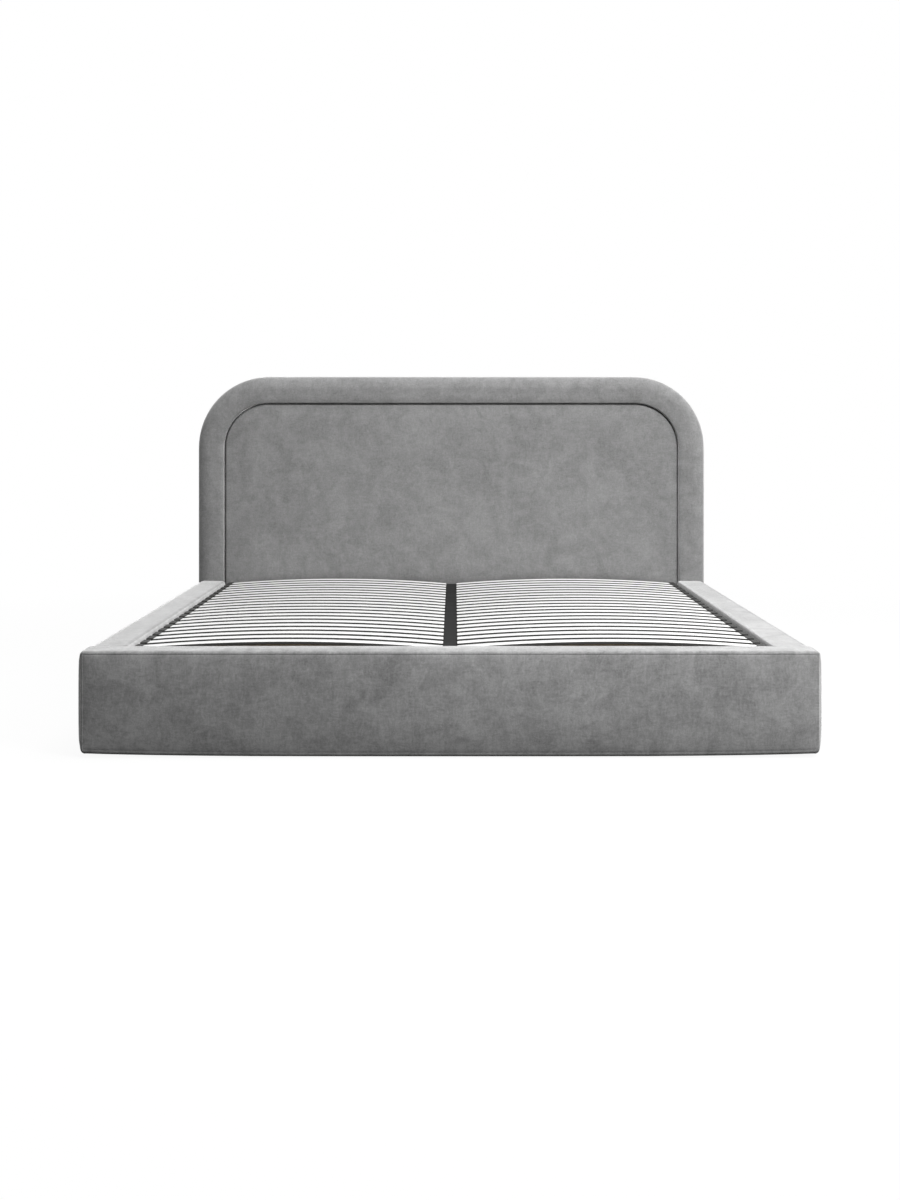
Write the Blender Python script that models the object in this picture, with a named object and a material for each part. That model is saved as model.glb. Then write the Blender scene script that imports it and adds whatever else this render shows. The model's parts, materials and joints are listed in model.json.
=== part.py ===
"""Upholstered double bed: padded arch headboard, padded rails, lift-up slat frame and storage box.

Metres, +Z up. The origin is on the floor under the centre of the bed's outer box. +Y points to the
headboard and +X to the right side of the bed as seen from its foot. Run this script with
blender --background --python part.py, or from Blender's text editor.
"""
import math

import bmesh
import bpy
from mathutils import Matrix, Vector

# Mattress that the bed is made for, and the play left round it
MATTRESS_WIDTH = 1.800
MATTRESS_LENGTH = 2.000
MATTRESS_PLAY = 0.010

# Padded walls round the mattress
RAIL_THICKNESS = 0.115
FOOTBOARD_THICKNESS = 0.115
HEADBOARD_THICKNESS = 0.100
HEADBOARD_HEIGHT = 1.108
SEAM_HEIGHT = 0.280
PAD_FLOOR_GAP = 0.001

# How far the padding swells past its seams, and how its edges roll
TOP_CROWN = 0.010
FOOT_MIDDLE_CROWN = 0.014
SIDE_BULGE = 0.009
FRONT_BULGE = 0.008
BOTTOM_BULGE = 0.007
SEAM_ROLL = 0.012
BUTT_ROLL = 0.006

# Boards inside the padding, rebated at the top for the hem of the cover, which ends a lap above
# the underside of the slat frame
BOARD_THICKNESS = 0.038
TOP_PADDING = 0.028
HEM_LAP = 0.0023
HEM_THICKNESS = 0.008
FOOT_END_PADDING = 0.040

# Headboard
ARCH_RADIUS = 0.284
BORDER_WIDTH = 0.110
BORDER_CROWN = 0.003
BORDER_FRONT_ROLL = 0.045
BORDER_BACK_ROLL = 0.008
GROOVE_WIDTH = 0.008
GROOVE_ROLL = 0.012
CENTRE_CROWN = 0.008
CENTRE_CROWN_REACH = 0.120
BACK_PANEL_THICKNESS = 0.030
BACK_PANEL_INSET = 0.024
PLINTH_WALL = 0.030
PLINTH_JOINT_DEPTH = 0.005

# Storage box
STORAGE_FLOOR_HEIGHT = 0.030
STORAGE_FLOOR_THICKNESS = 0.016
FOOT_CLEAT_SIZE = 0.030

# Steel frame that carries the slats
TUBE_WIDTH = 0.030
TUBE_HEIGHT = 0.030
CENTRE_BEAM_WIDTH = 0.075
FRAME_HEAD_CLEARANCE = 0.020
FRAME_FOOT_CLEARANCE = 0.008

# Bent wood slats
SLAT_ROWS = 21
SLAT_WIDTH = 0.057
SLAT_THICKNESS = 0.008
SLAT_ARCH_RISE = 0.018
SLAT_END_DROP = 0.008
SLAT_SEAT = 0.018
SLAT_HEAD_MARGIN = 0.0275
SLAT_FOOT_MARGIN = 0.0355

# Lift brackets, screwed to the rail boards, with the hinge pin and the strut's lower stud
HINGE_SETBACK = 0.065
HINGE_PIN_RADIUS = 0.006
HINGE_BORE_RADIUS = 0.0065
BRACKET_THICKNESS = 0.006
BRACKET_SIDE_PLAY = 0.0017
BRACKET_WIDTH = 0.080
BRACKET_TOP_EDGE = 0.014
BRACKET_FOOT_EDGE = 0.030
BRACKET_FLOOR_GAP = 0.0287
BRACKET_CORNER = 0.010
PIN_HEAD_RADIUS = 0.010
PIN_HEAD_THICKNESS = 0.003
PIN_HEAD_PLAY = 0.0005

# Gas struts, their studs, and the ear under the frame's side tube
STRUT_REACH = 0.450
STRUT_INSET = 0.0137
STUD_RADIUS = 0.004
STUD_OVERHANG = 0.003
EYE_THICKNESS = 0.008
CYLINDER_RADIUS = 0.010
CYLINDER_START = 0.030
CYLINDER_EYE_RADIUS = 0.011
CYLINDER_EYE_BORE = 0.0045
NECK_RADIUS = 0.005
NECK_START = 0.0085
ROD_RADIUS = 0.004
ROD_BORE_RADIUS = 0.0046
ROD_EXPOSED = 0.045
ROD_INSERTED = 0.310
ROD_END_ROOM = 0.010
ROD_EYE_RADIUS = 0.0125
ROD_EYE_BORE = 0.008
ROD_EYE_LEAD = 0.0012
ROD_EYE_RISE = 0.0033
EAR_DROP = 0.035
EAR_THICKNESS = 0.004
EAR_PLAY = 0.001
EAR_WIDTH = 0.060
EAR_EDGE = 0.012
WELD_DEPTH = 0.005

# Gap that two touching pieces keep, and how far a cutting shape runs past what it cuts
SEAT_GAP = 0.0003
OVERRUN = 0.020

# Facets of the curved surfaces, and grid cells across each padded wall (X, Y, Z)
ROUND_SIDES = 24
CORNER_STEPS = 4
ARCH_STEPS = 10
ROLL_STEPS = 3
SLAT_STEPS = 8
RAIL_SPANS = (4, 8, 4)
FOOT_SPANS = (16, 4, 4)

# Powers by which a bulge dies away towards the ends of a long wall
LONG_FADE = 4
END_FADE = 7

# Where the rings of the headboard's centre pad lie, and how much of its crown each has risen
CENTRE_RING_SHARES = ((0.10, 0.40), (0.35, 0.75), (0.70, 0.95), (1.0, 1.0))

# Places worked out from the sizes above
INNER_HALF = (MATTRESS_WIDTH + MATTRESS_PLAY) / 2
OUTER_HALF = INNER_HALF + RAIL_THICKNESS
BED_LENGTH = MATTRESS_LENGTH + MATTRESS_PLAY + FOOTBOARD_THICKNESS + HEADBOARD_THICKNESS
FOOT_FRONT = -BED_LENGTH / 2
FOOT_INNER = FOOT_FRONT + FOOTBOARD_THICKNESS
HEAD_BACK = BED_LENGTH / 2
HEAD_FRONT = HEAD_BACK - HEADBOARD_THICKNESS
BOARD_OUTER = INNER_HALF + BOARD_THICKNESS
PANEL_FRONT = HEAD_BACK - BACK_PANEL_THICKNESS
PAD_BOTTOM_SEAM = PAD_FLOOR_GAP + BOTTOM_BULGE

SLAT_END_TOP = SEAM_HEIGHT - SLAT_END_DROP
TUBE_TOP = SLAT_END_TOP - SLAT_THICKNESS - SEAT_GAP
TUBE_BOTTOM = TUBE_TOP - TUBE_HEIGHT
HEM_HEIGHT = TUBE_BOTTOM + HEM_LAP
BOARD_HEIGHT = SEAM_HEIGHT - TOP_PADDING
BRACKET_OUTER = INNER_HALF - SEAT_GAP
BRACKET_INNER = BRACKET_OUTER - BRACKET_THICKNESS
FRAME_HALF = BRACKET_INNER - BRACKET_SIDE_PLAY
FRAME_HEAD = HEAD_FRONT - FRAME_HEAD_CLEARANCE
FRAME_FOOT = FOOT_INNER + FRAME_FOOT_CLEARANCE
BAY_OUTER = FRAME_HALF - TUBE_WIDTH
BAY_INNER = CENTRE_BEAM_WIDTH / 2

HINGE = Vector((0, HEAD_FRONT - HINGE_SETBACK, (TUBE_TOP + TUBE_BOTTOM) / 2))
STRUT_X = BRACKET_INNER - STRUT_INSET
LOW_STUD = Vector((0, HINGE.y, STORAGE_FLOOR_HEIGHT + BRACKET_FLOOR_GAP + BRACKET_FOOT_EDGE))
EAR_STUD = HINGE - Vector((0, STRUT_REACH, EAR_DROP))
ROD_EYE = EAR_STUD + Vector((0, -ROD_EYE_LEAD, ROD_EYE_RISE))
STRUT_LINE = ROD_EYE - LOW_STUD
STRUT_LENGTH = STRUT_LINE.length
STRUT_TILT = math.atan2(STRUT_LINE.z, -STRUT_LINE.y)
CYLINDER_END = STRUT_LENGTH - ROD_EXPOSED
ROD_FOOT = CYLINDER_END - ROD_INSERTED

SIDES = (("left", -1), ("right", 1))
TURN_TO_X = Matrix.Rotation(math.radians(90), 3, 'Y')
TURN_TO_FOOT = Matrix.Rotation(math.radians(90), 3, 'X')


def clear_scene():
    for item in list(bpy.data.objects):
        bpy.data.objects.remove(item, do_unlink=True)


def make_material(name, colour, roughness, metallic=0.0):
    material = bpy.data.materials.new(name)
    material.use_nodes = True
    shader = material.node_tree.nodes["Principled BSDF"]
    shader.inputs["Base Color"].default_value = (*colour, 1)
    shader.inputs["Roughness"].default_value = roughness
    shader.inputs["Metallic"].default_value = metallic
    material.diffuse_color = (*colour, 1)
    return material


def add_axis(name, place, parent=None):
    """An empty that marks the bed's origin or the axis that moving pieces turn on."""
    empty = bpy.data.objects.new(name, None)
    empty.parent = parent
    empty.location = place
    bpy.context.scene.collection.objects.link(empty)
    return empty


def add_object(name, bm, material, parent):
    """Makes an object from a mesh that is drawn round its parent's origin."""
    mesh = bpy.data.meshes.new(name)
    bm.to_mesh(mesh)
    bm.free()
    if material is not None:
        mesh.materials.append(material)
    piece = bpy.data.objects.new(name, mesh)
    bpy.context.scene.collection.objects.link(piece)
    piece.parent = parent
    return piece


def shade_round(piece, angle=35):
    piece.data.shade_smooth()
    piece.data.set_sharp_from_angle(angle=math.radians(angle))


def combine(piece, name, bm, operation):
    """Adds or cuts a shape, which stays in the file as a hidden guide beside its piece."""
    guide = add_object(f"guide_{name}", bm, None, piece.parent)
    guide.hide_render = True
    guide.display_type = 'WIRE'
    step = piece.modifiers.new(f"{operation.lower()} {name}", 'BOOLEAN')
    step.operation = operation
    step.solver = 'EXACT'
    step.object = guide


def box_mesh(low, high):
    """A closed box between two corners."""
    low, high = Vector(low), Vector(high)
    bm = bmesh.new()
    bmesh.ops.create_cube(bm, size=1)
    bmesh.ops.scale(bm, vec=high - low, verts=bm.verts)
    bmesh.ops.translate(bm, vec=(low + high) / 2, verts=bm.verts)
    return bm


def bar_mesh(centre, radius, start, end, turn):
    """A closed round bar from `start` to `end` along the axis that `turn` gives it."""
    bm = bmesh.new()
    bmesh.ops.create_cone(bm, cap_ends=True, segments=ROUND_SIDES, radius1=radius, radius2=radius,
                          depth=end - start)
    bmesh.ops.translate(bm, vec=(0, 0, (start + end) / 2), verts=bm.verts)
    bmesh.ops.rotate(bm, cent=(0, 0, 0), matrix=turn, verts=bm.verts)
    bmesh.ops.translate(bm, vec=centre, verts=bm.verts)
    return bm


def cross_bar(centre, radius, x_start, x_end):
    """A round bar across the bed, for a pin, a stud or a bore."""
    low, high = sorted((x_start, x_end))
    return bar_mesh(Vector((0, centre.y, centre.z)), radius, low, high, TURN_TO_X)


def prism_mesh(outline, start, end, axis):
    """Extrudes a flat outline along X, with (y, z) points, or along Y, with (x, z) points."""
    bm = bmesh.new()
    if axis == 'X':
        corners = [bm.verts.new((start, y, z)) for y, z in outline]
        run = Vector((end - start, 0, 0))
    else:
        corners = [bm.verts.new((x, start, z)) for x, z in outline]
        run = Vector((0, end - start, 0))
    raise_faces(bm, [bm.faces.new(corners)], run)
    return bm


def raise_faces(bm, faces, run):
    """Extrudes flat faces by `run` into one closed solid."""
    grown = bmesh.ops.extrude_face_region(bm, geom=faces)["geom"]
    moved = [item for item in grown if isinstance(item, bmesh.types.BMVert)]
    bmesh.ops.translate(bm, vec=run, verts=moved)
    bmesh.ops.recalc_face_normals(bm, faces=bm.faces)


def loft_mesh(rings):
    """Joins closed rings of points into one skin and caps its two ends."""
    bm = bmesh.new()
    rows = [[bm.verts.new(point) for point in ring] for ring in rings]
    count = len(rows[0])
    for near, far in zip(rows, rows[1:]):
        for i in range(count):
            j = (i + 1) % count
            bm.faces.new((near[i], near[j], far[j], far[i]))
    bm.faces.new(rows[0])
    bm.faces.new(list(reversed(rows[-1])))
    bmesh.ops.recalc_face_normals(bm, faces=bm.faces)
    return bm


def arc_points(centre, radius, start, end, steps):
    """Points of a flat arc; angles are in degrees."""
    angles = [math.radians(start + (end - start) * i / steps) for i in range(steps + 1)]
    return [(centre[0] + radius * math.cos(a), centre[1] + radius * math.sin(a)) for a in angles]


def dome(share, power=2):
    """1 at the middle of a padded face and 0 at its seams."""
    return 1 - min(1.0, abs(share)) ** power


def grid_stops(half, roll, spans):
    """Grid lines from -half to +half that crowd together where the edge rolls over."""
    core = half - roll
    angles = [math.radians(90) * (i + 1) / (ROLL_STEPS + 1) for i in range(ROLL_STEPS)]
    edge = [core + roll * math.sin(a) for a in angles] + [half]
    flat = [-core + 2 * core * i / spans for i in range(spans + 1)]
    return [-stop for stop in reversed(edge)] + flat + edge


def cushion_mesh(low, high, rolls, spans, swell):
    """A box whose edges roll over and whose faces swell outwards.

    `rolls` is the edge's reach along each axis and `spans` the number of grid cells between rolls.
    `swell` gives how far a point moves, from its shares of the box's half sizes, -1 to 1.
    """
    low, high = Vector(low), Vector(high)
    centre = (low + high) / 2
    half = (high - low) / 2
    stops = [grid_stops(half[k], rolls[k], spans[k]) for k in range(3)]
    last = [len(line) - 1 for line in stops]
    bm = bmesh.new()
    corners = {}
    for k in range(3):
        u, v = (k + 1) % 3, (k + 2) % 3
        for end in (0, last[k]):
            for i in range(last[u]):
                for j in range(last[v]):
                    quad = []
                    for a, b in ((i, j), (i + 1, j), (i + 1, j + 1), (i, j + 1)):
                        index = [0, 0, 0]
                        index[k], index[u], index[v] = end, a, b
                        index = tuple(index)
                        if index not in corners:
                            corners[index] = bm.verts.new([stops[m][index[m]] for m in range(3)])
                        quad.append(corners[index])
                    bm.faces.new(quad)
    for vert in bm.verts:
        shares = Vector([vert.co[k] / half[k] for k in range(3)])
        core = Vector([max(rolls[k] - half[k], min(half[k] - rolls[k], vert.co[k])) for k in range(3)])
        lean = Vector([(vert.co[k] - core[k]) / rolls[k] for k in range(3)]).normalized()
        rolled = core + Vector([lean[k] * rolls[k] for k in range(3)])
        vert.co = centre + rolled + swell(shares)
    bmesh.ops.recalc_face_normals(bm, faces=bm.faces)
    return bm


def board_section(inner, sign):
    """A wall's board seen from its end, as (across, z), with the rebate for the cover's hem."""
    return [(inner, 0),
            (inner + sign * BOARD_THICKNESS, 0),
            (inner + sign * BOARD_THICKNESS, BOARD_HEIGHT),
            (inner + sign * HEM_THICKNESS, BOARD_HEIGHT),
            (inner + sign * HEM_THICKNESS, HEM_HEIGHT),
            (inner, HEM_HEIGHT)]


def slot_section(inner, sign):
    """The board's section grown by the seat gap, and run out below and inwards."""
    return [(inner - sign * OVERRUN, -OVERRUN),
            (inner + sign * (BOARD_THICKNESS + SEAT_GAP), -OVERRUN),
            (inner + sign * (BOARD_THICKNESS + SEAT_GAP), BOARD_HEIGHT + SEAT_GAP),
            (inner + sign * (HEM_THICKNESS - SEAT_GAP), BOARD_HEIGHT + SEAT_GAP),
            (inner + sign * (HEM_THICKNESS - SEAT_GAP), HEM_HEIGHT + SEAT_GAP),
            (inner - sign * OVERRUN, HEM_HEIGHT + SEAT_GAP)]


def side_rail(side, sign, bed, mats):
    """One side wall: a board on edge, and the padding saddled over it."""
    inner, outer = sign * INNER_HALF, sign * (OUTER_HALF - SIDE_BULGE)
    start, end = FOOT_INNER + SEAT_GAP, HEAD_FRONT - SEAT_GAP
    board = prism_mesh(board_section(inner, sign), start, end, 'Y')
    add_object(f"side_rail_board_{side}", board, mats["board"], bed)

    def swell(share):
        outward = SIDE_BULGE * dome(share.z) * max(0.0, sign * share.x)
        upward = TOP_CROWN * dome(share.x) * max(0.0, share.z)
        downward = BOTTOM_BULGE * dome(share.x) * max(0.0, -share.z)
        return Vector((sign * outward, 0, upward - downward))

    padding = cushion_mesh((min(inner, outer), start, PAD_BOTTOM_SEAM), (max(inner, outer), end, SEAM_HEIGHT),
                           (SEAM_ROLL, BUTT_ROLL, SEAM_ROLL), RAIL_SPANS, swell)
    pad = add_object(f"side_rail_pad_{side}", padding, mats["fabric"], bed)
    slot = prism_mesh(slot_section(inner, sign), start - OVERRUN, end + OVERRUN, 'Y')
    combine(pad, f"rail_slot_{side}", slot, 'DIFFERENCE')
    shade_round(pad)


def footboard(bed, mats):
    """The foot wall: a board, its padding, and the batten that the closed frame comes down on."""
    board_half = OUTER_HALF - FOOT_END_PADDING
    board = prism_mesh(board_section(FOOT_INNER, -1), -board_half, board_half, 'X')
    add_object("footboard_board", board, mats["board"], bed)

    def swell(share):
        forward = FRONT_BULGE * dome(share.z) * dome(share.x, LONG_FADE) * max(0.0, -share.y)
        outward = SIDE_BULGE * dome(share.z) * dome(share.y) * share.x ** END_FADE
        crown = TOP_CROWN + (FOOT_MIDDLE_CROWN - TOP_CROWN) * dome(share.x, LONG_FADE)
        upward = crown * dome(share.y) * max(0.0, share.z)
        downward = BOTTOM_BULGE * dome(share.x, LONG_FADE) * max(0.0, -share.z)
        return Vector((outward, -forward, upward - downward))

    half = OUTER_HALF - SIDE_BULGE
    padding = cushion_mesh((-half, FOOT_FRONT + FRONT_BULGE, PAD_BOTTOM_SEAM), (half, FOOT_INNER, SEAM_HEIGHT),
                           (SEAM_ROLL, SEAM_ROLL, SEAM_ROLL), FOOT_SPANS, swell)
    pad = add_object("footboard_pad", padding, mats["fabric"], bed)
    slot = prism_mesh(slot_section(FOOT_INNER, -1), -board_half - SEAT_GAP, board_half + SEAT_GAP, 'X')
    combine(pad, "foot_slot", slot, 'DIFFERENCE')
    shade_round(pad)

    cleat_top = TUBE_BOTTOM - SEAT_GAP
    cleat_back = FOOT_INNER + SEAT_GAP
    cleat = box_mesh((-BAY_OUTER, cleat_back, cleat_top - FOOT_CLEAT_SIZE),
                     (BAY_OUTER, cleat_back + FOOT_CLEAT_SIZE, cleat_top))
    add_object("foot_cleat", cleat, mats["batten"], bed)


def arch_outline(inset, foot):
    """Points (x, z) of the headboard's arch drawn in by `inset`, from its left foot to its right."""
    half = OUTER_HALF - inset
    radius = ARCH_RADIUS - inset
    spring = HEADBOARD_HEIGHT - ARCH_RADIUS
    left = arc_points((radius - half, spring), radius, 180, 90, ARCH_STEPS)
    right = arc_points((half - radius, spring), radius, 90, 0, ARCH_STEPS)
    return [(-half, foot)] + left + right + [(half, foot)]


def border_section():
    """The border's section as (inset, y): groove side, front, outer edge, back rim, panel rebate."""
    face = HEAD_FRONT + BORDER_CROWN
    groove = arc_points((BORDER_WIDTH - GROOVE_ROLL, face + GROOVE_ROLL), GROOVE_ROLL, 0, -90, ROLL_STEPS)
    front = arc_points((BORDER_FRONT_ROLL, face + BORDER_FRONT_ROLL), BORDER_FRONT_ROLL, -90, -180,
                       2 * ROLL_STEPS)
    middle = ((BORDER_WIDTH - GROOVE_ROLL + BORDER_FRONT_ROLL) / 2, HEAD_FRONT)
    back = arc_points((BORDER_BACK_ROLL, HEAD_BACK - BORDER_BACK_ROLL), BORDER_BACK_ROLL, 180, 90, ROLL_STEPS)
    rebate = [(BACK_PANEL_INSET - SEAT_GAP, HEAD_BACK),
              (BACK_PANEL_INSET - SEAT_GAP, PANEL_FRONT - SEAT_GAP),
              (BORDER_WIDTH, PANEL_FRONT - SEAT_GAP)]
    return groove + [middle] + front + back + rebate


def headboard_board(bed, mats):
    """The panel inside the arch, and the plinth under it that closes the storage box."""
    panel = prism_mesh(arch_outline(BACK_PANEL_INSET, 0), PANEL_FRONT, HEAD_BACK, 'Y')
    board = add_object("headboard_board", panel, mats["board"], bed)
    joint = PANEL_FRONT + PLINTH_JOINT_DEPTH
    plinth = [(HEAD_FRONT, 0), (HEAD_FRONT, HEM_HEIGHT), (joint, HEM_HEIGHT), (joint, HEM_HEIGHT - PLINTH_WALL),
              (HEAD_FRONT + PLINTH_WALL, HEM_HEIGHT - PLINTH_WALL), (HEAD_FRONT + PLINTH_WALL, 0)]
    combine(board, "plinth", prism_mesh(plinth, -BOARD_OUTER, BOARD_OUTER, 'X'), 'UNION')


def headboard_border(bed, mats):
    """The roll of padding that follows the arch from floor to floor."""
    section = border_section()
    outlines = [arch_outline(inset, PAD_FLOOR_GAP) for inset, _ in section]
    rings = []
    for station in range(len(outlines[0])):
        rings.append([(outline[station][0], y, outline[station][1])
                      for outline, (_, y) in zip(outlines, section)])
    pad = add_object("headboard_border_pad", loft_mesh(rings), mats["fabric"], bed)
    plinth_room = box_mesh((-BOARD_OUTER - SEAT_GAP, HEAD_FRONT - OVERRUN, -OVERRUN),
                           (BOARD_OUTER + SEAT_GAP, HEAD_BACK + OVERRUN, HEM_HEIGHT + SEAT_GAP))
    combine(pad, "border_plinth_room", plinth_room, 'DIFFERENCE')
    shade_round(pad)


def headboard_centre(bed, mats):
    """The flat pad inside the groove: rolled edges, and a crown that dies away inwards."""
    edge = BORDER_WIDTH + GROOVE_WIDTH
    face = HEAD_FRONT + CENTRE_CROWN
    steps = [(0, PANEL_FRONT - SEAT_GAP)]
    for reach, depth in arc_points((GROOVE_ROLL, GROOVE_ROLL), GROOVE_ROLL, 180, 270, ROLL_STEPS):
        steps.append((reach, face + depth))
    for reach_share, rise_share in CENTRE_RING_SHARES:
        steps.append((GROOVE_ROLL + CENTRE_CROWN_REACH * reach_share, face - CENTRE_CROWN * rise_share))
    rings = []
    for reach, y in steps:
        outline = arch_outline(edge + reach, HEM_HEIGHT + SEAT_GAP + reach)
        rings.append([(x, y, z) for x, z in outline])
    pad = add_object("headboard_centre_pad", loft_mesh(rings), mats["fabric"], bed)
    shade_round(pad)


def storage_floor(bed, mats):
    low = (-INNER_HALF + SEAT_GAP, FOOT_INNER + SEAT_GAP, STORAGE_FLOOR_HEIGHT - STORAGE_FLOOR_THICKNESS)
    high = (INNER_HALF - SEAT_GAP, HEAD_FRONT - SEAT_GAP, STORAGE_FLOOR_HEIGHT)
    add_object("storage_floor", box_mesh(low, high), mats["floor_panel"], bed)


def frame_mesh():
    """The welded frame: four outer tubes and a centre beam round two open bays."""
    across = [-FRAME_HALF, -BAY_OUTER, -BAY_INNER, BAY_INNER, BAY_OUTER, FRAME_HALF]
    along = [FRAME_FOOT, FRAME_FOOT + TUBE_WIDTH, FRAME_HEAD - TUBE_WIDTH, FRAME_HEAD]
    bays = {(1, 1), (3, 1)}
    bm = bmesh.new()
    grid = [[bm.verts.new((x, y, TUBE_BOTTOM)) for y in along] for x in across]
    cells = []
    for i in range(len(across) - 1):
        for j in range(len(along) - 1):
            if (i, j) not in bays:
                cells.append(bm.faces.new((grid[i][j], grid[i + 1][j], grid[i + 1][j + 1], grid[i][j + 1])))
    raise_faces(bm, cells, Vector((0, 0, TUBE_HEIGHT)))
    return bm


def ear_outline():
    """The ear as (y, z): welded under the side tube, and round about the strut's upper stud."""
    top = TUBE_BOTTOM + WELD_DEPTH - HINGE.z
    centre = (EAR_STUD.y - HINGE.y, EAR_STUD.z - HINGE.z)
    round_end = arc_points(centre, EAR_EDGE, 0, -180, ROUND_SIDES // 2)
    return [(centre[0] - EAR_WIDTH / 2, top), (centre[0] + EAR_WIDTH / 2, top)] + round_end


def slat_frame(lift, mats):
    """The frame with its two hinge bores, and an ear and a stud for each gas strut."""
    bm = frame_mesh()
    bmesh.ops.translate(bm, vec=-HINGE, verts=bm.verts)
    frame = add_object("slat_frame", bm, mats["steel"], lift)
    stud = EAR_STUD - HINGE
    for side, sign in SIDES:
        outer_face = STRUT_X - EYE_THICKNESS / 2 - EAR_PLAY
        stud_end = STRUT_X + EYE_THICKNESS / 2 + STUD_OVERHANG
        ear = prism_mesh(ear_outline(), *sorted((sign * (outer_face - EAR_THICKNESS), sign * outer_face)), 'X')
        combine(frame, f"ear_{side}", ear, 'UNION')
        pin = cross_bar(stud, STUD_RADIUS, sign * (outer_face - EAR_THICKNESS / 2), sign * stud_end)
        combine(frame, f"ear_stud_{side}", pin, 'UNION')
        bore = cross_bar(Vector(), HINGE_BORE_RADIUS, sign * (BAY_OUTER - OVERRUN), sign * (FRAME_HALF + OVERRUN))
        combine(frame, f"hinge_bore_{side}", bore, 'DIFFERENCE')
    shade_round(frame)


def slat_mesh(x_start, x_end):
    """One bent slat, drawn about its own middle line at Y = 0."""
    middle, half = (x_start + x_end) / 2, (x_end - x_start) / 2
    rings = []
    for i in range(SLAT_STEPS + 1):
        share = -1 + 2 * i / SLAT_STEPS
        top = SLAT_END_TOP + SLAT_ARCH_RISE * dome(share) - HINGE.z
        x = middle + half * share
        rings.append([(x, -SLAT_WIDTH / 2, top - SLAT_THICKNESS), (x, SLAT_WIDTH / 2, top - SLAT_THICKNESS),
                      (x, SLAT_WIDTH / 2, top), (x, -SLAT_WIDTH / 2, top)])
    return loft_mesh(rings)


def slats(lift, mats):
    """Two banks of slats, evenly spaced from the footboard to the headboard."""
    first = FOOT_INNER + SLAT_FOOT_MARGIN + SLAT_WIDTH / 2
    final = HEAD_FRONT - SLAT_HEAD_MARGIN - SLAT_WIDTH / 2
    pitch = (final - first) / (SLAT_ROWS - 1)
    for side, sign in SIDES:
        ends = sorted((sign * (BAY_INNER - SLAT_SEAT), sign * (BAY_OUTER + SLAT_SEAT)))
        for row in range(SLAT_ROWS):
            slat = add_object(f"slat_{side}_{row + 1:02d}", slat_mesh(*ends), mats["birch"], lift)
            slat.location.y = first + pitch * row - HINGE.y


def bracket_outline():
    """The bracket's plate as (y, z), with rounded corners."""
    corner = BRACKET_CORNER
    y_low, y_high = HINGE.y - BRACKET_WIDTH / 2 + corner, HINGE.y + BRACKET_WIDTH / 2 - corner
    z_low, z_high = LOW_STUD.z - BRACKET_FOOT_EDGE + corner, HINGE.z + BRACKET_TOP_EDGE - corner
    outline = []
    for centre, start in (((y_high, z_high), 0), ((y_low, z_high), 90),
                          ((y_low, z_low), 180), ((y_high, z_low), 270)):
        outline += arc_points(centre, corner, start, start + 90, CORNER_STEPS)
    return outline


def lift_bracket(side, sign, bed, mats):
    """A steel plate on the rail's board: hinge pin with its riveted head, and the strut's stud."""
    plate = prism_mesh(bracket_outline(), *sorted((sign * BRACKET_INNER, sign * BRACKET_OUTER)), 'X')
    bracket = add_object(f"lift_bracket_{side}", plate, mats["steel"], bed)
    inside_plate = sign * (BRACKET_INNER + BRACKET_THICKNESS / 2)
    head_face = BAY_OUTER - PIN_HEAD_PLAY
    head_end = head_face - PIN_HEAD_THICKNESS
    pin = cross_bar(HINGE, HINGE_PIN_RADIUS, inside_plate, sign * (head_end + PIN_HEAD_THICKNESS / 2))
    combine(bracket, f"hinge_pin_{side}", pin, 'UNION')
    head = cross_bar(HINGE, PIN_HEAD_RADIUS, sign * head_face, sign * head_end)
    combine(bracket, f"pin_head_{side}", head, 'UNION')
    stud_end = STRUT_X - EYE_THICKNESS / 2 - STUD_OVERHANG
    stud = cross_bar(LOW_STUD, STUD_RADIUS, inside_plate, sign * stud_end)
    combine(bracket, f"low_stud_{side}", stud, 'UNION')
    shade_round(bracket)


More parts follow.
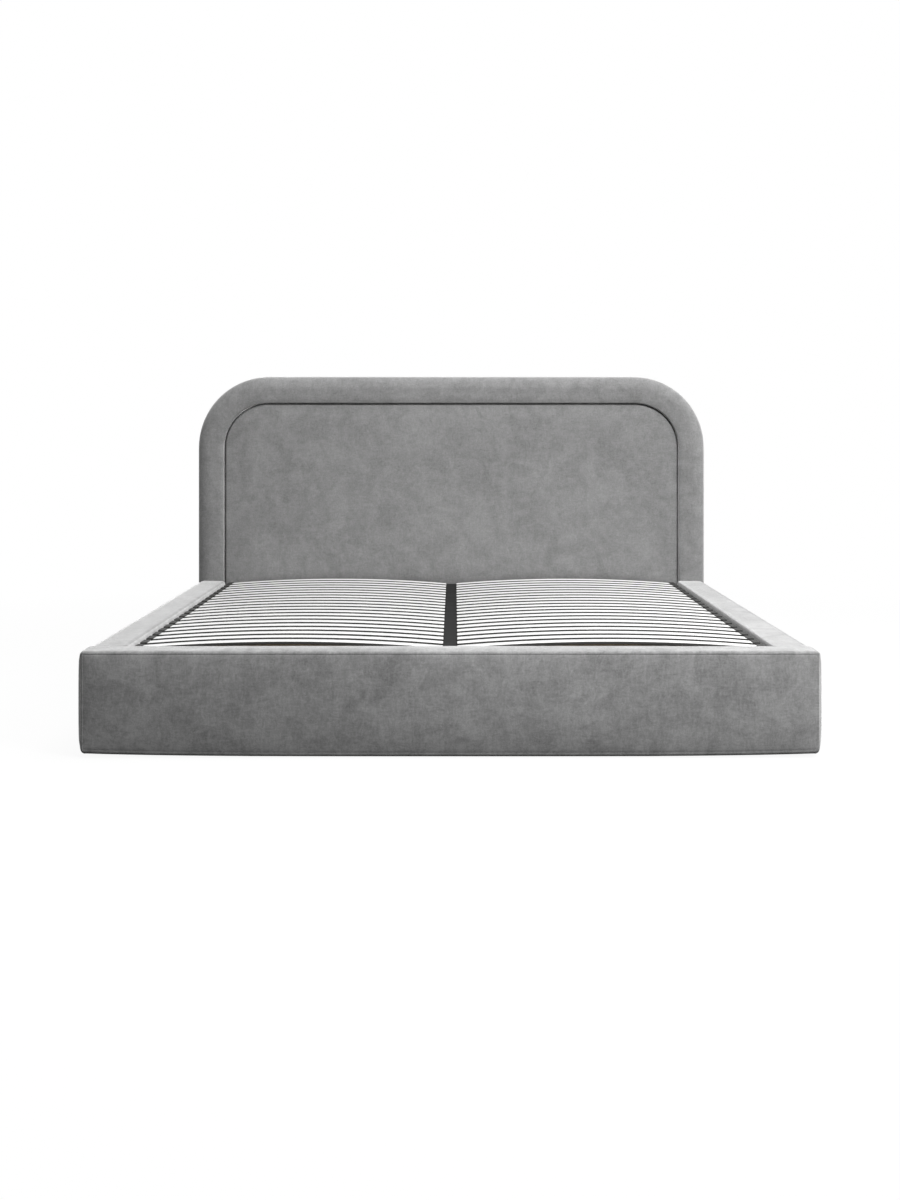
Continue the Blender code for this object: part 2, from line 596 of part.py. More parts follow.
def gas_strut(side, sign, bed, mats):
    """A cylinder on the bracket's stud and its rod, drawn along -Y and then tilted into place."""
    foot = Vector((sign * STRUT_X, LOW_STUD.y, LOW_STUD.z))
    axis = add_axis(f"strut_axis_{side}", foot, bed)
    axis.rotation_euler.x = -STRUT_TILT
    eye_low, eye_high = -EYE_THICKNESS / 2, EYE_THICKNESS / 2

    body = bar_mesh(Vector(), CYLINDER_RADIUS, CYLINDER_START, CYLINDER_END, TURN_TO_FOOT)
    cylinder = add_object(f"gas_cylinder_{side}", body, mats["strut"], axis)
    neck = bar_mesh(Vector(), NECK_RADIUS, NECK_START, CYLINDER_START + WELD_DEPTH, TURN_TO_FOOT)
    combine(cylinder, f"neck_{side}", neck, 'UNION')
    combine(cylinder, f"low_eye_{side}", cross_bar(Vector(), CYLINDER_EYE_RADIUS, eye_low, eye_high), 'UNION')
    low_bore = cross_bar(Vector(), CYLINDER_EYE_BORE, eye_low - OVERRUN, eye_high + OVERRUN)
    combine(cylinder, f"low_eye_bore_{side}", low_bore, 'DIFFERENCE')
    rod_bore = bar_mesh(Vector(), ROD_BORE_RADIUS, ROD_FOOT - ROD_END_ROOM, CYLINDER_END + OVERRUN, TURN_TO_FOOT)
    combine(cylinder, f"rod_bore_{side}", rod_bore, 'DIFFERENCE')
    shade_round(cylinder)

    rod_end = STRUT_LENGTH - (ROD_EYE_BORE + ROD_EYE_RADIUS) / 2
    rod = add_object(f"gas_rod_{side}", bar_mesh(Vector(), ROD_RADIUS, ROD_FOOT, rod_end, TURN_TO_FOOT),
                     mats["chrome"], axis)
    eye = Vector((0, -STRUT_LENGTH, 0))
    combine(rod, f"rod_eye_{side}", cross_bar(eye, ROD_EYE_RADIUS, eye_low, eye_high), 'UNION')
    rod_eye_bore = cross_bar(eye, ROD_EYE_BORE, eye_low - OVERRUN, eye_high + OVERRUN)
    combine(rod, f"rod_eye_bore_{side}", rod_eye_bore, 'DIFFERENCE')
    shade_round(rod)


def main():
    clear_scene()
    mats = {
        "fabric": make_material("grey_velvet", (0.25, 0.25, 0.25), 0.95),
        "board": make_material("chipboard", (0.55, 0.43, 0.29), 0.8),
        "batten": make_material("pine_batten", (0.62, 0.46, 0.28), 0.7),
        "floor_panel": make_material("hardboard", (0.30, 0.20, 0.12), 0.75),
        "steel": make_material("dark_painted_steel", (0.05, 0.05, 0.05), 0.5, 0.4),
        "birch": make_material("pale_birch", (0.80, 0.78, 0.74), 0.45),
        "strut": make_material("black_strut_enamel", (0.015, 0.015, 0.015), 0.3),
        "chrome": make_material("bright_rod", (0.75, 0.75, 0.75), 0.12, 1.0),
    }
    bed = add_axis("bed", Vector())
    lift = add_axis("lift_axis", HINGE, bed)
    headboard_board(bed, mats)
    headboard_border(bed, mats)
    headboard_centre(bed, mats)
    footboard(bed, mats)
    storage_floor(bed, mats)
    for side, sign in SIDES:
        side_rail(side, sign, bed, mats)
        lift_bracket(side, sign, bed, mats)
        gas_strut(side, sign, bed, mats)
    slat_frame(lift, mats)
    slats(lift, mats)
    print(f"bed {2 * OUTER_HALF:.3f} x {BED_LENGTH:.3f} x {HEADBOARD_HEIGHT:.3f} m")
    print(f"hinge {HINGE[:]} strut foot {LOW_STUD[:]} tilt {math.degrees(STRUT_TILT):.3f} deg")


main()
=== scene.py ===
# %% [markdown]
# # An upholstered bed with a lift-up slat base
#
# This lesson dresses a measured bed in its real surfaces. The solids that carry it, and the joints that
# move it, are loaded first as a fixed frame. Each visible piece is then modelled over that frame with
# Blender's own operators, and given a procedural material. The bed's padded walls get a cloth
# simulation, because fabric that is stretched over foam swells between its seams in a way that is hard
# to draw by hand.

# %% Load the frame
import json
import math

import bmesh
import bpy
import numpy as np
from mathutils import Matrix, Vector


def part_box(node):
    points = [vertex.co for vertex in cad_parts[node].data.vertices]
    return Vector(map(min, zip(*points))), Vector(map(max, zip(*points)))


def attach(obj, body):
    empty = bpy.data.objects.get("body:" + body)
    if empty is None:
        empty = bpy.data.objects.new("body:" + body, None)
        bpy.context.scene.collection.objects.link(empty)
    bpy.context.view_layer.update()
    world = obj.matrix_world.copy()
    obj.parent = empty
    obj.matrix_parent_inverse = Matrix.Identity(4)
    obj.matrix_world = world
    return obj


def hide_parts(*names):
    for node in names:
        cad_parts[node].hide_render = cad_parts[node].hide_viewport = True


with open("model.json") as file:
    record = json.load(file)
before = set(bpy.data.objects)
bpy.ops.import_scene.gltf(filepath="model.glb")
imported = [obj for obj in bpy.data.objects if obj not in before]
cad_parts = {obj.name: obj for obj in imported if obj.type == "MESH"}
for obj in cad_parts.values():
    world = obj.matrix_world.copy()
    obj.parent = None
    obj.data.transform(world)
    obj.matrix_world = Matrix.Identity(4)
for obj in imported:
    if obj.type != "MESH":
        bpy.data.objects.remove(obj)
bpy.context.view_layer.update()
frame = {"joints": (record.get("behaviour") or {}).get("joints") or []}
scene = bpy.context.scene

# %% [markdown]
# ## Sizes
#
# Everything is placed from the frame's own boxes, in metres, so nothing has to be fitted by eye. The sizes
# that no box can tell, such as the width of a roll or the place of a seam, are named beside the piece
# that needs them. Pieces that touch are kept a hair's breadth apart, the seat gap, because two faces in
# one place would show through each other.

# %% Places read from the frame
FOOT_LOW, FOOT_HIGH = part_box("footboard_pad")
RAIL_LOW, RAIL_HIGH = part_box("side_rail_pad_right")
BORDER_LOW, BORDER_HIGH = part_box("headboard_border_pad")
CENTRE_LOW, CENTRE_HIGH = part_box("headboard_centre_pad")
PANEL_LOW, PANEL_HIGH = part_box("headboard_board")
FOOT_BOARD_LOW, FOOT_BOARD_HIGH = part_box("footboard_board")
RAIL_BOARD_LOW, RAIL_BOARD_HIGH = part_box("side_rail_board_right")
TUBE_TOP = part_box("slat_frame")[1].z
SIDES = (("left", -1), ("right", 1))
SEAT_GAP = 0.0003
print("footboard", [round(v, 4) for v in (*FOOT_LOW, *FOOT_HIGH)])
print("rail", [round(v, 4) for v in (*RAIL_LOW, *RAIL_HIGH)])
print("border", [round(v, 4) for v in (*BORDER_LOW, *BORDER_HIGH)])
print("centre", [round(v, 4) for v in (*CENTRE_LOW, *CENTRE_HIGH)])

# %% [markdown]
# ## Small helpers
#
# Operators act on whatever is selected, so each step begins by clearing the selection. In edit mode,
# faces and edges are picked in code by their place or direction, as one would click them by hand.
# Places are compared with a small tolerance, which is wider for points that a modifier has moved.
# Directions are compared by the share of an edge, or of a face's normal, that lies along an axis.

# %% Selection helpers
SAME_PLACE = 1e-5
STILL_THERE = 1e-4
ALONG_AXIS, TOWARDS_AXIS = 0.999, 0.9


def start_clean():
    """Leaves edit mode and deselects everything."""
    if bpy.context.mode != 'OBJECT':
        bpy.ops.object.mode_set(mode='OBJECT')
    bpy.ops.object.select_all(action='DESELECT')


def choose(*pieces):
    """Selects these objects alone; the first one becomes active."""
    start_clean()
    for piece in pieces:
        piece.select_set(True)
    bpy.context.view_layer.objects.active = pieces[0]


def edit(piece):
    """Opens a piece in edit mode."""
    choose(piece)
    bpy.ops.object.mode_set(mode='EDIT')


def pick(kind, test):
    """Selects the vertices, edges or faces of the mesh in edit mode that pass a test."""
    data = bpy.context.object.data
    mesh = bmesh.from_edit_mesh(data)
    bpy.ops.mesh.select_mode(type=kind)
    bpy.ops.mesh.select_all(action='DESELECT')
    items = {'VERT': mesh.verts, 'EDGE': mesh.edges, 'FACE': mesh.faces}[kind]
    for item in items:
        if test(item):
            item.select_set(True)
    mesh.select_flush_mode()
    bmesh.update_edit_mesh(data)


def runs_along(axis):
    """A test for edges that run along one axis."""
    def test(part):
        run = part.verts[1].co - part.verts[0].co
        return abs(run[axis]) > ALONG_AXIS * run.length
    return test


def faces_towards(axis, sign):
    """A test for faces that look along one axis."""
    return lambda face: sign * face.normal[axis] > TOWARDS_AXIS


# %% Modifier and object helpers


def apply_all(piece):
    """Applies every modifier of a piece, top to bottom."""
    choose(piece)
    for step in list(piece.modifiers):
        bpy.ops.object.modifier_apply(modifier=step.name)


def bevel_edges(piece, width, segments, angle=35):
    """Rounds the edges where faces meet at more than an angle."""
    step = piece.modifiers.new("eased edges", 'BEVEL')
    step.width = width
    step.segments = segments
    step.limit_method = 'ANGLE'
    step.angle_limit = math.radians(angle)
    apply_all(piece)


def smooth(piece, angle=40):
    """Shades a piece smooth, apart from edges where faces meet at more than an angle."""
    choose(piece)
    bpy.ops.object.shade_smooth_by_angle(angle=math.radians(angle))


def new_box(name, low, high):
    """A primitive cube at its real size and place, with the place kept in its mesh."""
    start_clean()
    low, high = Vector(low), Vector(high)
    bpy.ops.mesh.primitive_cube_add(size=1, location=(low + high) / 2, scale=high - low)
    piece = bpy.context.object
    piece.name = name
    piece.data.name = name
    bpy.ops.object.transform_apply(location=True, rotation=True, scale=True)
    return piece


def copy_piece(piece, name, shift):
    """A copy with its own mesh, moved and with the move applied, so that its object stays at the origin."""
    choose(piece)
    bpy.ops.object.duplicate()
    twin = bpy.context.object
    twin.name = name
    twin.data.name = name
    bpy.ops.transform.translate(value=shift)
    bpy.ops.object.transform_apply(location=True, rotation=False, scale=False)
    return twin


def turn_round(piece, centre):
    """Turns a piece half round, about an upright axis, in edit mode."""
    edit(piece)
    bpy.ops.mesh.select_all(action='SELECT')
    bpy.ops.transform.rotate(value=math.radians(180), orient_axis='Z', center_override=centre)
    start_clean()


def join(name, pieces):
    """Makes several pieces one object, with one mesh."""
    choose(*pieces)
    bpy.ops.object.join()
    whole = bpy.context.object
    whole.name = name
    whole.data.name = name
    return whole


def delete(*pieces):
    """Removes these objects from the scene."""
    choose(*pieces)
    bpy.ops.object.delete()


def dress(piece, body, material, slot, *nodes):
    """Gives a piece its material and its body, and hides the frame's nodes it stands for. The slot argument
    is not used.
    """
    piece.data.materials.clear()
    piece.data.materials.append(material)
    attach(piece, body)
    if nodes:
        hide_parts(*nodes)


# %% [markdown]
# ## Camera
#
# The photograph is taken level, from four fifths of the headboard's height, with the lens shifted down
# so that upright edges stay upright. The vanishing point of the rails gives the shift, and the widths of
# the footboard and the headboard together give the distance and the focal length.

# %% Camera
PHOTO_HEIGHT_PX = 1200
PHOTO_WIDTH_PX = 900
VANISHING_PX = (454.2, 430.1)
FOCAL_PX = 1638
SENSOR_MM = 36
CAMERA_PLACE = (0.0115, -5.558, 0.893)
FARTHEST_SEEN = 200

start_clean()
bpy.ops.object.camera_add(location=CAMERA_PLACE, rotation=(math.radians(90), 0, 0))
camera = bpy.context.object
camera.name = "photo_camera"
camera.data.sensor_fit = 'VERTICAL'
camera.data.sensor_height = SENSOR_MM
camera.data.lens = FOCAL_PX / PHOTO_HEIGHT_PX * SENSOR_MM
camera.data.shift_x = (PHOTO_WIDTH_PX / 2 - VANISHING_PX[0]) / PHOTO_HEIGHT_PX
camera.data.shift_y = (VANISHING_PX[1] - PHOTO_HEIGHT_PX / 2) / PHOTO_HEIGHT_PX
camera.data.clip_end = FARTHEST_SEEN
scene.camera = camera
print("lens", round(camera.data.lens, 2), "mm, shift", round(camera.data.shift_y, 4))

# %% [markdown]
# ## Floor, backdrop and light
#
# The studio is a wide pale floor. Seen by the camera it glows to plain white away from the bed, so no
# horizon shows, while the lamps still light the bed at a plain level and its soft shadow stays.
# The main light comes from high on the right, as in the photograph, where the tops of the walls and the
# right edge of the headboard are the palest places.

# %% World


def white_for_sight(tree):
    """1 for camera, glossy and transmission rays, which see the plain white, and 0 for the rest."""
    path = tree.nodes.new("ShaderNodeLightPath")
    seen = path.outputs["Is Camera Ray"]
    for label in ("Is Glossy Ray", "Is Transmission Ray"):
        either = tree.nodes.new("ShaderNodeMath")
        either.operation = 'MAXIMUM'
        tree.links.new(seen, either.inputs[0])
        tree.links.new(path.outputs[label], either.inputs[1])
        seen = either.outputs[0]
    return seen


WORLD_GREY = 0.31


def studio_world():
    """Soft grey light from all round, which the camera and anything shiny see as plain white."""
    world = bpy.data.worlds.new("studio")
    world.use_nodes = True
    tree = world.node_tree
    tree.nodes.clear()
    out = tree.nodes.new("ShaderNodeOutputWorld")
    both = tree.nodes.new("ShaderNodeMixShader")
    tree.links.new(white_for_sight(tree), both.inputs[0])
    for slot, grey in ((1, WORLD_GREY), (2, 1)):
        light = tree.nodes.new("ShaderNodeBackground")
        light.inputs["Color"].default_value = (grey, grey, grey, 1)
        tree.links.new(light.outputs[0], both.inputs[slot])
    tree.links.new(both.outputs[0], out.inputs["Surface"])
    return world


scene.world = studio_world()
scene.view_settings.view_transform = 'Standard'
print("world light", WORLD_GREY, "grey, seen as white")

# %% Floor
FLOOR_RADIUS = 60
FLOOR_ALBEDO = 0.05
FLOOR_SEEN = 0.90
GLOW_NEAR = 0.93
GLOW_START, GLOW_FULL = 1.6, 4.0


def floor_material():
    """Pale floor that turns to plain white, for the camera alone, away from the bed.

    It throws less light back on the bed than it shows, because the photo's walls darken towards it.
    """
    material = bpy.data.materials.new("studio_floor")
    material.use_nodes = True
    nodes, links = material.node_tree.nodes, material.node_tree.links
    nodes.clear()
    output = nodes.new("ShaderNodeOutputMaterial")
    matt = nodes.new("ShaderNodeBsdfDiffuse")
    shade = nodes.new("ShaderNodeMapRange")
    shade.inputs["To Min"].default_value = FLOOR_ALBEDO
    shade.inputs["To Max"].default_value = FLOOR_SEEN
    glow = nodes.new("ShaderNodeEmission")
    glow.inputs["Color"].default_value = (1, 1, 1, 1)
    place = nodes.new("ShaderNodeTexCoord")
    reach = nodes.new("ShaderNodeVectorMath")
    reach.operation = 'LENGTH'
    fade = nodes.new("ShaderNodeMapRange")
    fade.inputs["From Min"].default_value = GLOW_START
    fade.inputs["From Max"].default_value = GLOW_FULL
    fade.inputs["To Min"].default_value = GLOW_NEAR
    fade.inputs["To Max"].default_value = 1
    seen = nodes.new("ShaderNodeMath")
    seen.operation = 'MULTIPLY'
    mix = nodes.new("ShaderNodeMixShader")
    links.new(place.outputs["Object"], reach.inputs[0])
    links.new(reach.outputs["Value"], fade.inputs["Value"])
    links.new(fade.outputs["Result"], seen.inputs[0])
    links.new(white_for_sight(material.node_tree), seen.inputs[1])
    links.new(white_for_sight(material.node_tree), shade.inputs["Value"])
    links.new(shade.outputs["Result"], matt.inputs["Color"])
    links.new(seen.outputs[0], mix.inputs[0])
    links.new(matt.outputs[0], mix.inputs[1])
    links.new(glow.outputs[0], mix.inputs[2])
    links.new(mix.outputs[0], output.inputs["Surface"])
    return material


start_clean()
bpy.ops.mesh.primitive_circle_add(vertices=96, radius=FLOOR_RADIUS, fill_type='NGON')
floor = bpy.context.object
floor.name = "studio_floor"
floor.data.materials.append(floor_material())
print("floor", FLOOR_RADIUS, "m in radius, plain white from", GLOW_FULL, "m outwards")

# %% Lamps


def area_lamp(name, place, target, size, watts):
    """A square soft lamp that looks at a point."""
    start_clean()
    bpy.ops.object.light_add(type='AREA', location=place)
    lamp = bpy.context.object
    lamp.name = name
    lamp.data.shape = 'SQUARE'
    lamp.data.size = size
    lamp.data.energy = watts
    lamp.rotation_euler = (Vector(target) - Vector(place)).to_track_quat('-Z', 'Y').to_euler()


area_lamp("overhead", (0.6, -1.0, 5.6), target=(0, 0, 0.3), size=4.5, watts=280)
area_lamp("near_right", (1.7, -3.0, 2.0), target=(0.2, -1.0, 0.2), size=1.2, watts=80)
area_lamp("right_wall", (3.0, 0.5, 1.6), target=(0, 0.6, 0.5), size=1.4, watts=37)

# %% [markdown]
# ## Velvet
#
# The cover is a short grey velvet. Three things make it look like velvet and not like paint. Its pile
# lies in different directions where hands have brushed it, which leaves cloudy paler and darker marks.
# Each mark is broken up by the fine grain of the pile. And the standing pile catches light at a glancing
# angle, so edges and flat tops look pale. The shader's sheen does a part of that. The rest is a painted
# sheen: a Layer Weight node, which knows how steeply a surface is seen, makes the base colour paler at a
# glancing angle, but not on surfaces that look down.
# The marks and the grain are one node group, because several velvets and the groove's lining share it.

# %% Velvet marks as a node group


def new_group(name, inputs, outputs):
    """An empty shader node group with named inputs and outputs."""
    group = bpy.data.node_groups.new(name, 'ShaderNodeTree')
    for label, kind, value in inputs:
        entry = group.interface.new_socket(name=label, in_out='INPUT', socket_type=kind)
        if value is not None:
            entry.default_value = value
    for label, kind in outputs:
        group.interface.new_socket(name=label, in_out='OUTPUT', socket_type=kind)
    start = group.nodes.new("NodeGroupInput")
    end = group.nodes.new("NodeGroupOutput")
    return group, start, end


def noise(group, vector, scale, detail, roughness, distortion=0.0):
    """The values, from 0 to 1, of a noise texture that reads a vector output."""
    node = group.nodes.new("ShaderNodeTexNoise")
    node.inputs["Scale"].default_value = scale
    node.inputs["Detail"].default_value = detail
    node.inputs["Roughness"].default_value = roughness
    node.inputs["Distortion"].default_value = distortion
    group.links.new(vector, node.inputs["Vector"])
    return node.outputs["Fac"]


def maths(group, operation, first, second, third=None):
    """A math node; each input is a socket or a number."""
    node = group.nodes.new("ShaderNodeMath")
    node.operation = operation
    for slot, value in enumerate((first, second, third)):
        if value is None:
            continue
        if isinstance(value, (int, float)):
            node.inputs[slot].default_value = value
        else:
            group.links.new(value, node.inputs[slot])
    return node.outputs[0]


def ramp(group, value, low, high, to_low=0.0, to_high=1.0):
    """Maps a range of a value onto another one, smoothly."""
    node = group.nodes.new("ShaderNodeMapRange")
    node.interpolation_type = 'SMOOTHSTEP'
    for label, number in (("From Min", low), ("From Max", high), ("To Min", to_low), ("To Max", to_high)):
        node.inputs[label].default_value = number
    group.links.new(value, node.inputs["Value"])
    return node.outputs["Result"]


def stretch(group, vector, scale, turn=(0, 0, 0)):
    """A Mapping node that stretches and turns a pattern."""
    node = group.nodes.new("ShaderNodeMapping")
    node.inputs["Scale"].default_value = scale
    node.inputs["Rotation"].default_value = [math.radians(angle) for angle in turn]
    group.links.new(vector, node.inputs["Vector"])
    return node.outputs["Vector"]


def add_pattern(group, pattern, low, high, weight, total=None):
    """Spreads a pattern from -1 to 1 between two of its values, and adds it to a sum with a weight."""
    spread = ramp(group, pattern, low, high, -1, 1)
    if total is None:
        return maths(group, 'MULTIPLY', spread, weight)
    return maths(group, 'MULTIPLY_ADD', spread, weight, total)


def brushed_pile_group():
    """Cloudy marks, brush strokes and pile grain: a shade factor round 1, and a height."""
    group, start, end = new_group(
        "brushed_pile",
        [("Vector", 'NodeSocketVector', None), ("Marks", 'NodeSocketFloat', 1.0)],
        [("Shade", 'NodeSocketFloat'), ("Height", 'NodeSocketFloat')])
    vector = start.outputs["Vector"]
    clouds = noise(group, vector, 3.1, 3, 0.5, 0.4)
    patches = noise(group, vector, 11, 5, 0.66, 0.9)
    long_strokes = noise(group, stretch(group, vector, (1.0, 1.0, 3.2), (0, 38, 0)), 26, 6, 0.72, 1.4)
    short_strokes = noise(group, stretch(group, vector, (3.0, 1.0, 1.0), (0, 28, 0)), 32, 5, 0.70, 1.2)
    grain = noise(group, vector, 640, 2, 0.6)
    flecks = noise(group, vector, 190, 3, 0.75)
    marks = add_pattern(group, clouds, 0.30, 0.70, 0.07)
    marks = add_pattern(group, patches, 0.30, 0.70, 0.15, marks)
    marks = add_pattern(group, long_strokes, 0.34, 0.68, 0.10, marks)
    marks = add_pattern(group, short_strokes, 0.34, 0.68, 0.10, marks)
    fine = add_pattern(group, grain, 0.3, 0.7, 0.06)
    fine = add_pattern(group, flecks, 0.3, 0.7, 0.09, fine)
    both = maths(group, 'MULTIPLY_ADD', marks, start.outputs["Marks"], fine)
    group.links.new(maths(group, 'ADD', both, 1.0), end.inputs["Shade"])
    group.links.new(maths(group, 'MULTIPLY_ADD', long_strokes, 0.6, grain), end.inputs["Height"])
    return group


BRUSHED_PILE = brushed_pile_group()

# %% Material helpers


def new_material(name, roughness, metallic=0.0):
    """A material with a Principled shader; returns the material, its tree and the shader."""
    material = bpy.data.materials.new(name)
    material.use_nodes = True
    shader = material.node_tree.nodes["Principled BSDF"]
    shader.inputs["Roughness"].default_value = roughness
    shader.inputs["Metallic"].default_value = metallic
    return material, material.node_tree, shader


def place_group(tree, group, **values):
    """Places a shared node group in a material, with this material's own values."""
    node = tree.nodes.new("ShaderNodeGroup")
    node.node_tree = group
    for label, value in values.items():
        node.inputs[label].default_value = value
    return node


def object_place(tree):
    """The place on the piece, in metres from its origin."""
    return tree.nodes.new("ShaderNodeTexCoord").outputs["Object"]


def tint(tree, colour, shade):
    """A colour times a shade factor."""
    node = tree.nodes.new("ShaderNodeVectorMath")
    node.operation = 'SCALE'
    node.inputs[0].default_value = colour
    tree.links.new(shade, node.inputs["Scale"])
    return node.outputs["Vector"]


def add_bump(tree, shader, height, distance, strength=1.0):
    """Turns a height into a bump of this depth in metres."""
    bump = tree.nodes.new("ShaderNodeBump")
    bump.inputs["Distance"].default_value = distance
    bump.inputs["Strength"].default_value = strength
    tree.links.new(height, bump.inputs["Height"])
    tree.links.new(bump.outputs["Normal"], shader.inputs["Normal"])


# %% Velvets
VELVET_GREY = 0.25
# Painted light and shade on the rails' inner sides: a paler grey where lit, a darker grey where shaded.
PAINTED_LIT_GREY, PAINTED_SHADE_GREY = 0.37, 0.15
CLOTH_ROUGHNESS, CLOTH_SPECULAR = 0.92, 0.15
SHEEN_ROUGHNESS = 0.32
PILE_DEPTH, PILE_BUMP = 0.0005, 0.6
# Painted sheen in the base colour: how much paler it grows at a glancing angle, and how steeply.
PAINTED_SHEEN_GAIN, PAINTED_SHEEN_POWER = 1.35, 4.0
LOOKS_DOWN, LOOKS_LEVEL = -0.5, 0.0


def velvet(name, grey, marks=1.0, sheen=1.0):
    """A velvet of one grey, with the marks of its pile, and a painted sheen that makes its colour paler
    where it is seen at a glancing angle.
    """
    material, tree, shader = new_material(name, CLOTH_ROUGHNESS)
    shader.inputs["Specular IOR Level"].default_value = CLOTH_SPECULAR
    shader.inputs["Sheen Weight"].default_value = sheen
    shader.inputs["Sheen Roughness"].default_value = SHEEN_ROUGHNESS
    pile = place_group(tree, BRUSHED_PILE, Marks=marks)
    tree.links.new(object_place(tree), pile.inputs["Vector"])
    # Painted sheen: the base colour grows paler where the surface is seen at a glancing angle, except where
    # it looks down.
    view = tree.nodes.new("ShaderNodeLayerWeight")
    painted_sheen_mask = maths(tree, 'POWER', view.outputs["Facing"], PAINTED_SHEEN_POWER)
    lie = tree.nodes.new("ShaderNodeNewGeometry")
    split = tree.nodes.new("ShaderNodeSeparateXYZ")
    tree.links.new(lie.outputs["Normal"], split.inputs["Vector"])
    painted_sheen_mask = maths(tree, 'MULTIPLY', painted_sheen_mask, ramp(tree, split.outputs["Z"], LOOKS_DOWN, LOOKS_LEVEL))
    paler = maths(tree, 'MULTIPLY_ADD', painted_sheen_mask, PAINTED_SHEEN_GAIN, 1.0)
    shade = maths(tree, 'MULTIPLY', pile.outputs["Shade"], paler)
    tree.links.new(tint(tree, (grey, grey, grey), shade), shader.inputs["Base Color"])
    add_bump(tree, shader, pile.outputs["Height"], PILE_DEPTH, PILE_BUMP)
    return material


VELVET = velvet("grey_velvet", VELVET_GREY)
HEAD_VELVET = velvet("grey_velvet_headboard", VELVET_GREY, marks=0.7)
# Lit and shaded copies of the velvet: painted light on the left rail's inner side, painted shade on the
# right one's.
PAINTED_LIGHT_INSIDE_VELVET = {"left": velvet("grey_velvet_left_inside_painted_light", PAINTED_LIT_GREY),
                 "right": velvet("grey_velvet_right_inside_painted_shade", PAINTED_SHADE_GREY, sheen=0.6)}
print("velvets:", [material.name for material in bpy.data.materials if "velvet" in material.name])

# %% [markdown]
# ## Padded covers
#
# Each padded wall starts as a block of foam: a cube at its real size, with its edges rolled and then
# divided into cells of about a centimetre so that it can bend. Its cover is then blown up by a cloth
# simulation, with the seams and the parts that are nailed to the board held still. Foam doesn't let a
# cover rise for ever, so the rise is eased off towards the most that the foam allows. At last the block
# is cut out underneath, where it sits over its board.

# %% Block of foam
CELL = 0.012
LONG_SHARE = 0.45


def roll_edges(test, roll, segments):
    """Rounds the picked edges of the block in edit mode."""
    pick('EDGE', test)
    bpy.ops.mesh.bevel(offset=roll, segments=segments, profile=0.5, affect='EDGES')


def divide(cell=CELL, axes=(0, 1, 2)):
    """Cuts the long edges of the mesh in edit mode into cells, one axis after the other."""
    for axis in axes:
        along = runs_along(axis)
        mesh = bmesh.from_edit_mesh(bpy.context.object.data)
        longest = max(part.calc_length() for part in mesh.edges if along(part))
        pick('EDGE', lambda part: along(part) and part.calc_length() > LONG_SHARE * longest)
        bpy.ops.mesh.subdivide(number_cuts=max(1, round(longest / cell) - 1))


def cut_loops(axis, *stops):
    """Adds a loop of edges all round the mesh in edit mode at each place along one axis."""
    normal = [0, 0, 0]
    normal[axis] = 1
    for stop in stops:
        place = [0, 0, 0]
        place[axis] = stop
        bpy.ops.mesh.select_all(action='SELECT')
        bpy.ops.mesh.bisect(plane_co=place, plane_no=normal)


def lies_at(axis, place):
    """A test for edges whose two ends lie at one place along an axis."""
    return lambda part: all(abs(vert.co[axis] - place) < SAME_PLACE for vert in part.verts)


def along_at(axis, **at):
    """A test for edges that run along one axis and lie at the given x, y or z."""
    tests = [runs_along(axis)] + [lies_at("xyz".index(name), place) for name, place in at.items()]
    return lambda part: all(test(part) for test in tests)


# %% Inflate a cover
CLOTH_FRAMES = 20


def places(piece):
    """The places of all points of a mesh, one row each."""
    flat = np.empty(3 * len(piece.data.vertices))
    piece.data.vertices.foreach_get("co", flat)
    return flat.reshape(-1, 3)


def looks(piece):
    """The directions in which all points of a mesh look, one row each."""
    return np.array([vert.normal for vert in piece.data.vertices])


def move_to(piece, points):
    """Puts the points of a mesh at new places."""
    piece.data.vertices.foreach_set("co", np.asarray(points, dtype=float).ravel())
    piece.data.update()


def ease(moves, limit, fullness):
    """Scales moves one way along one axis so that they reach their limit softly."""
    peak = moves.max()
    if limit <= 0 or peak < SAME_PLACE:
        return np.zeros_like(moves)
    return limit * np.tanh(fullness * np.maximum(moves, 0) / peak) / math.tanh(fullness)


def inflate(piece, held, down, up, pressure, tension, fullness):
    """Blows a cover up with Blender's cloth; `held` marks its seams and the parts nailed to the board.

    `down` and `up` are how far the foam lets it rise against and along X, Y and Z, and `fullness` is
    how soon it comes near that. The foam is there already, so no point may sink. Returns the points as
    they were before.
    """
    before, outwards = places(piece), looks(piece)
    group = piece.vertex_groups.new(name="held")
    group.add(np.flatnonzero(held(before)).tolist(), 1.0, 'REPLACE')
    cover = piece.modifiers.new("cover", 'CLOTH')
    cloth = cover.settings
    cloth.quality = 5
    cloth.mass = 0.3
    cloth.air_damping = 2.0
    cloth.tension_stiffness = tension
    cloth.compression_stiffness = tension
    cloth.shear_stiffness = 5.0
    cloth.bending_stiffness = 0.5
    cloth.use_pressure = True
    cloth.uniform_pressure_force = pressure
    cloth.vertex_group_mass = group.name
    cloth.effector_weights.gravity = 0
    cover.collision_settings.use_collision = False
    cover.point_cache.frame_start = 1
    cover.point_cache.frame_end = CLOTH_FRAMES
    for number in range(1, CLOTH_FRAMES + 1):
        scene.frame_set(number)
    apply_all(piece)
    piece.vertex_groups.clear()
    moves = places(piece) - before
    moves[(moves * outwards).sum(axis=1) < 0] = 0
    for axis in range(3):
        outward = ease(moves[:, axis], up[axis], fullness)
        inward = ease(-moves[:, axis], down[axis], fullness)
        moves[:, axis] = outward - inward
    move_to(piece, before + moves)
    most = round(float(np.abs(moves).max()) * 1000, 1)
    print(piece.name, len(before), "points rose by up to", most, "mm")
    return before


def draw_in(piece, picked, depth):
    """Pulls picked points in along their normals, as the thread of a seam does."""
    points = places(piece)
    points[picked] -= depth * looks(piece)[picked]
    move_to(piece, points)


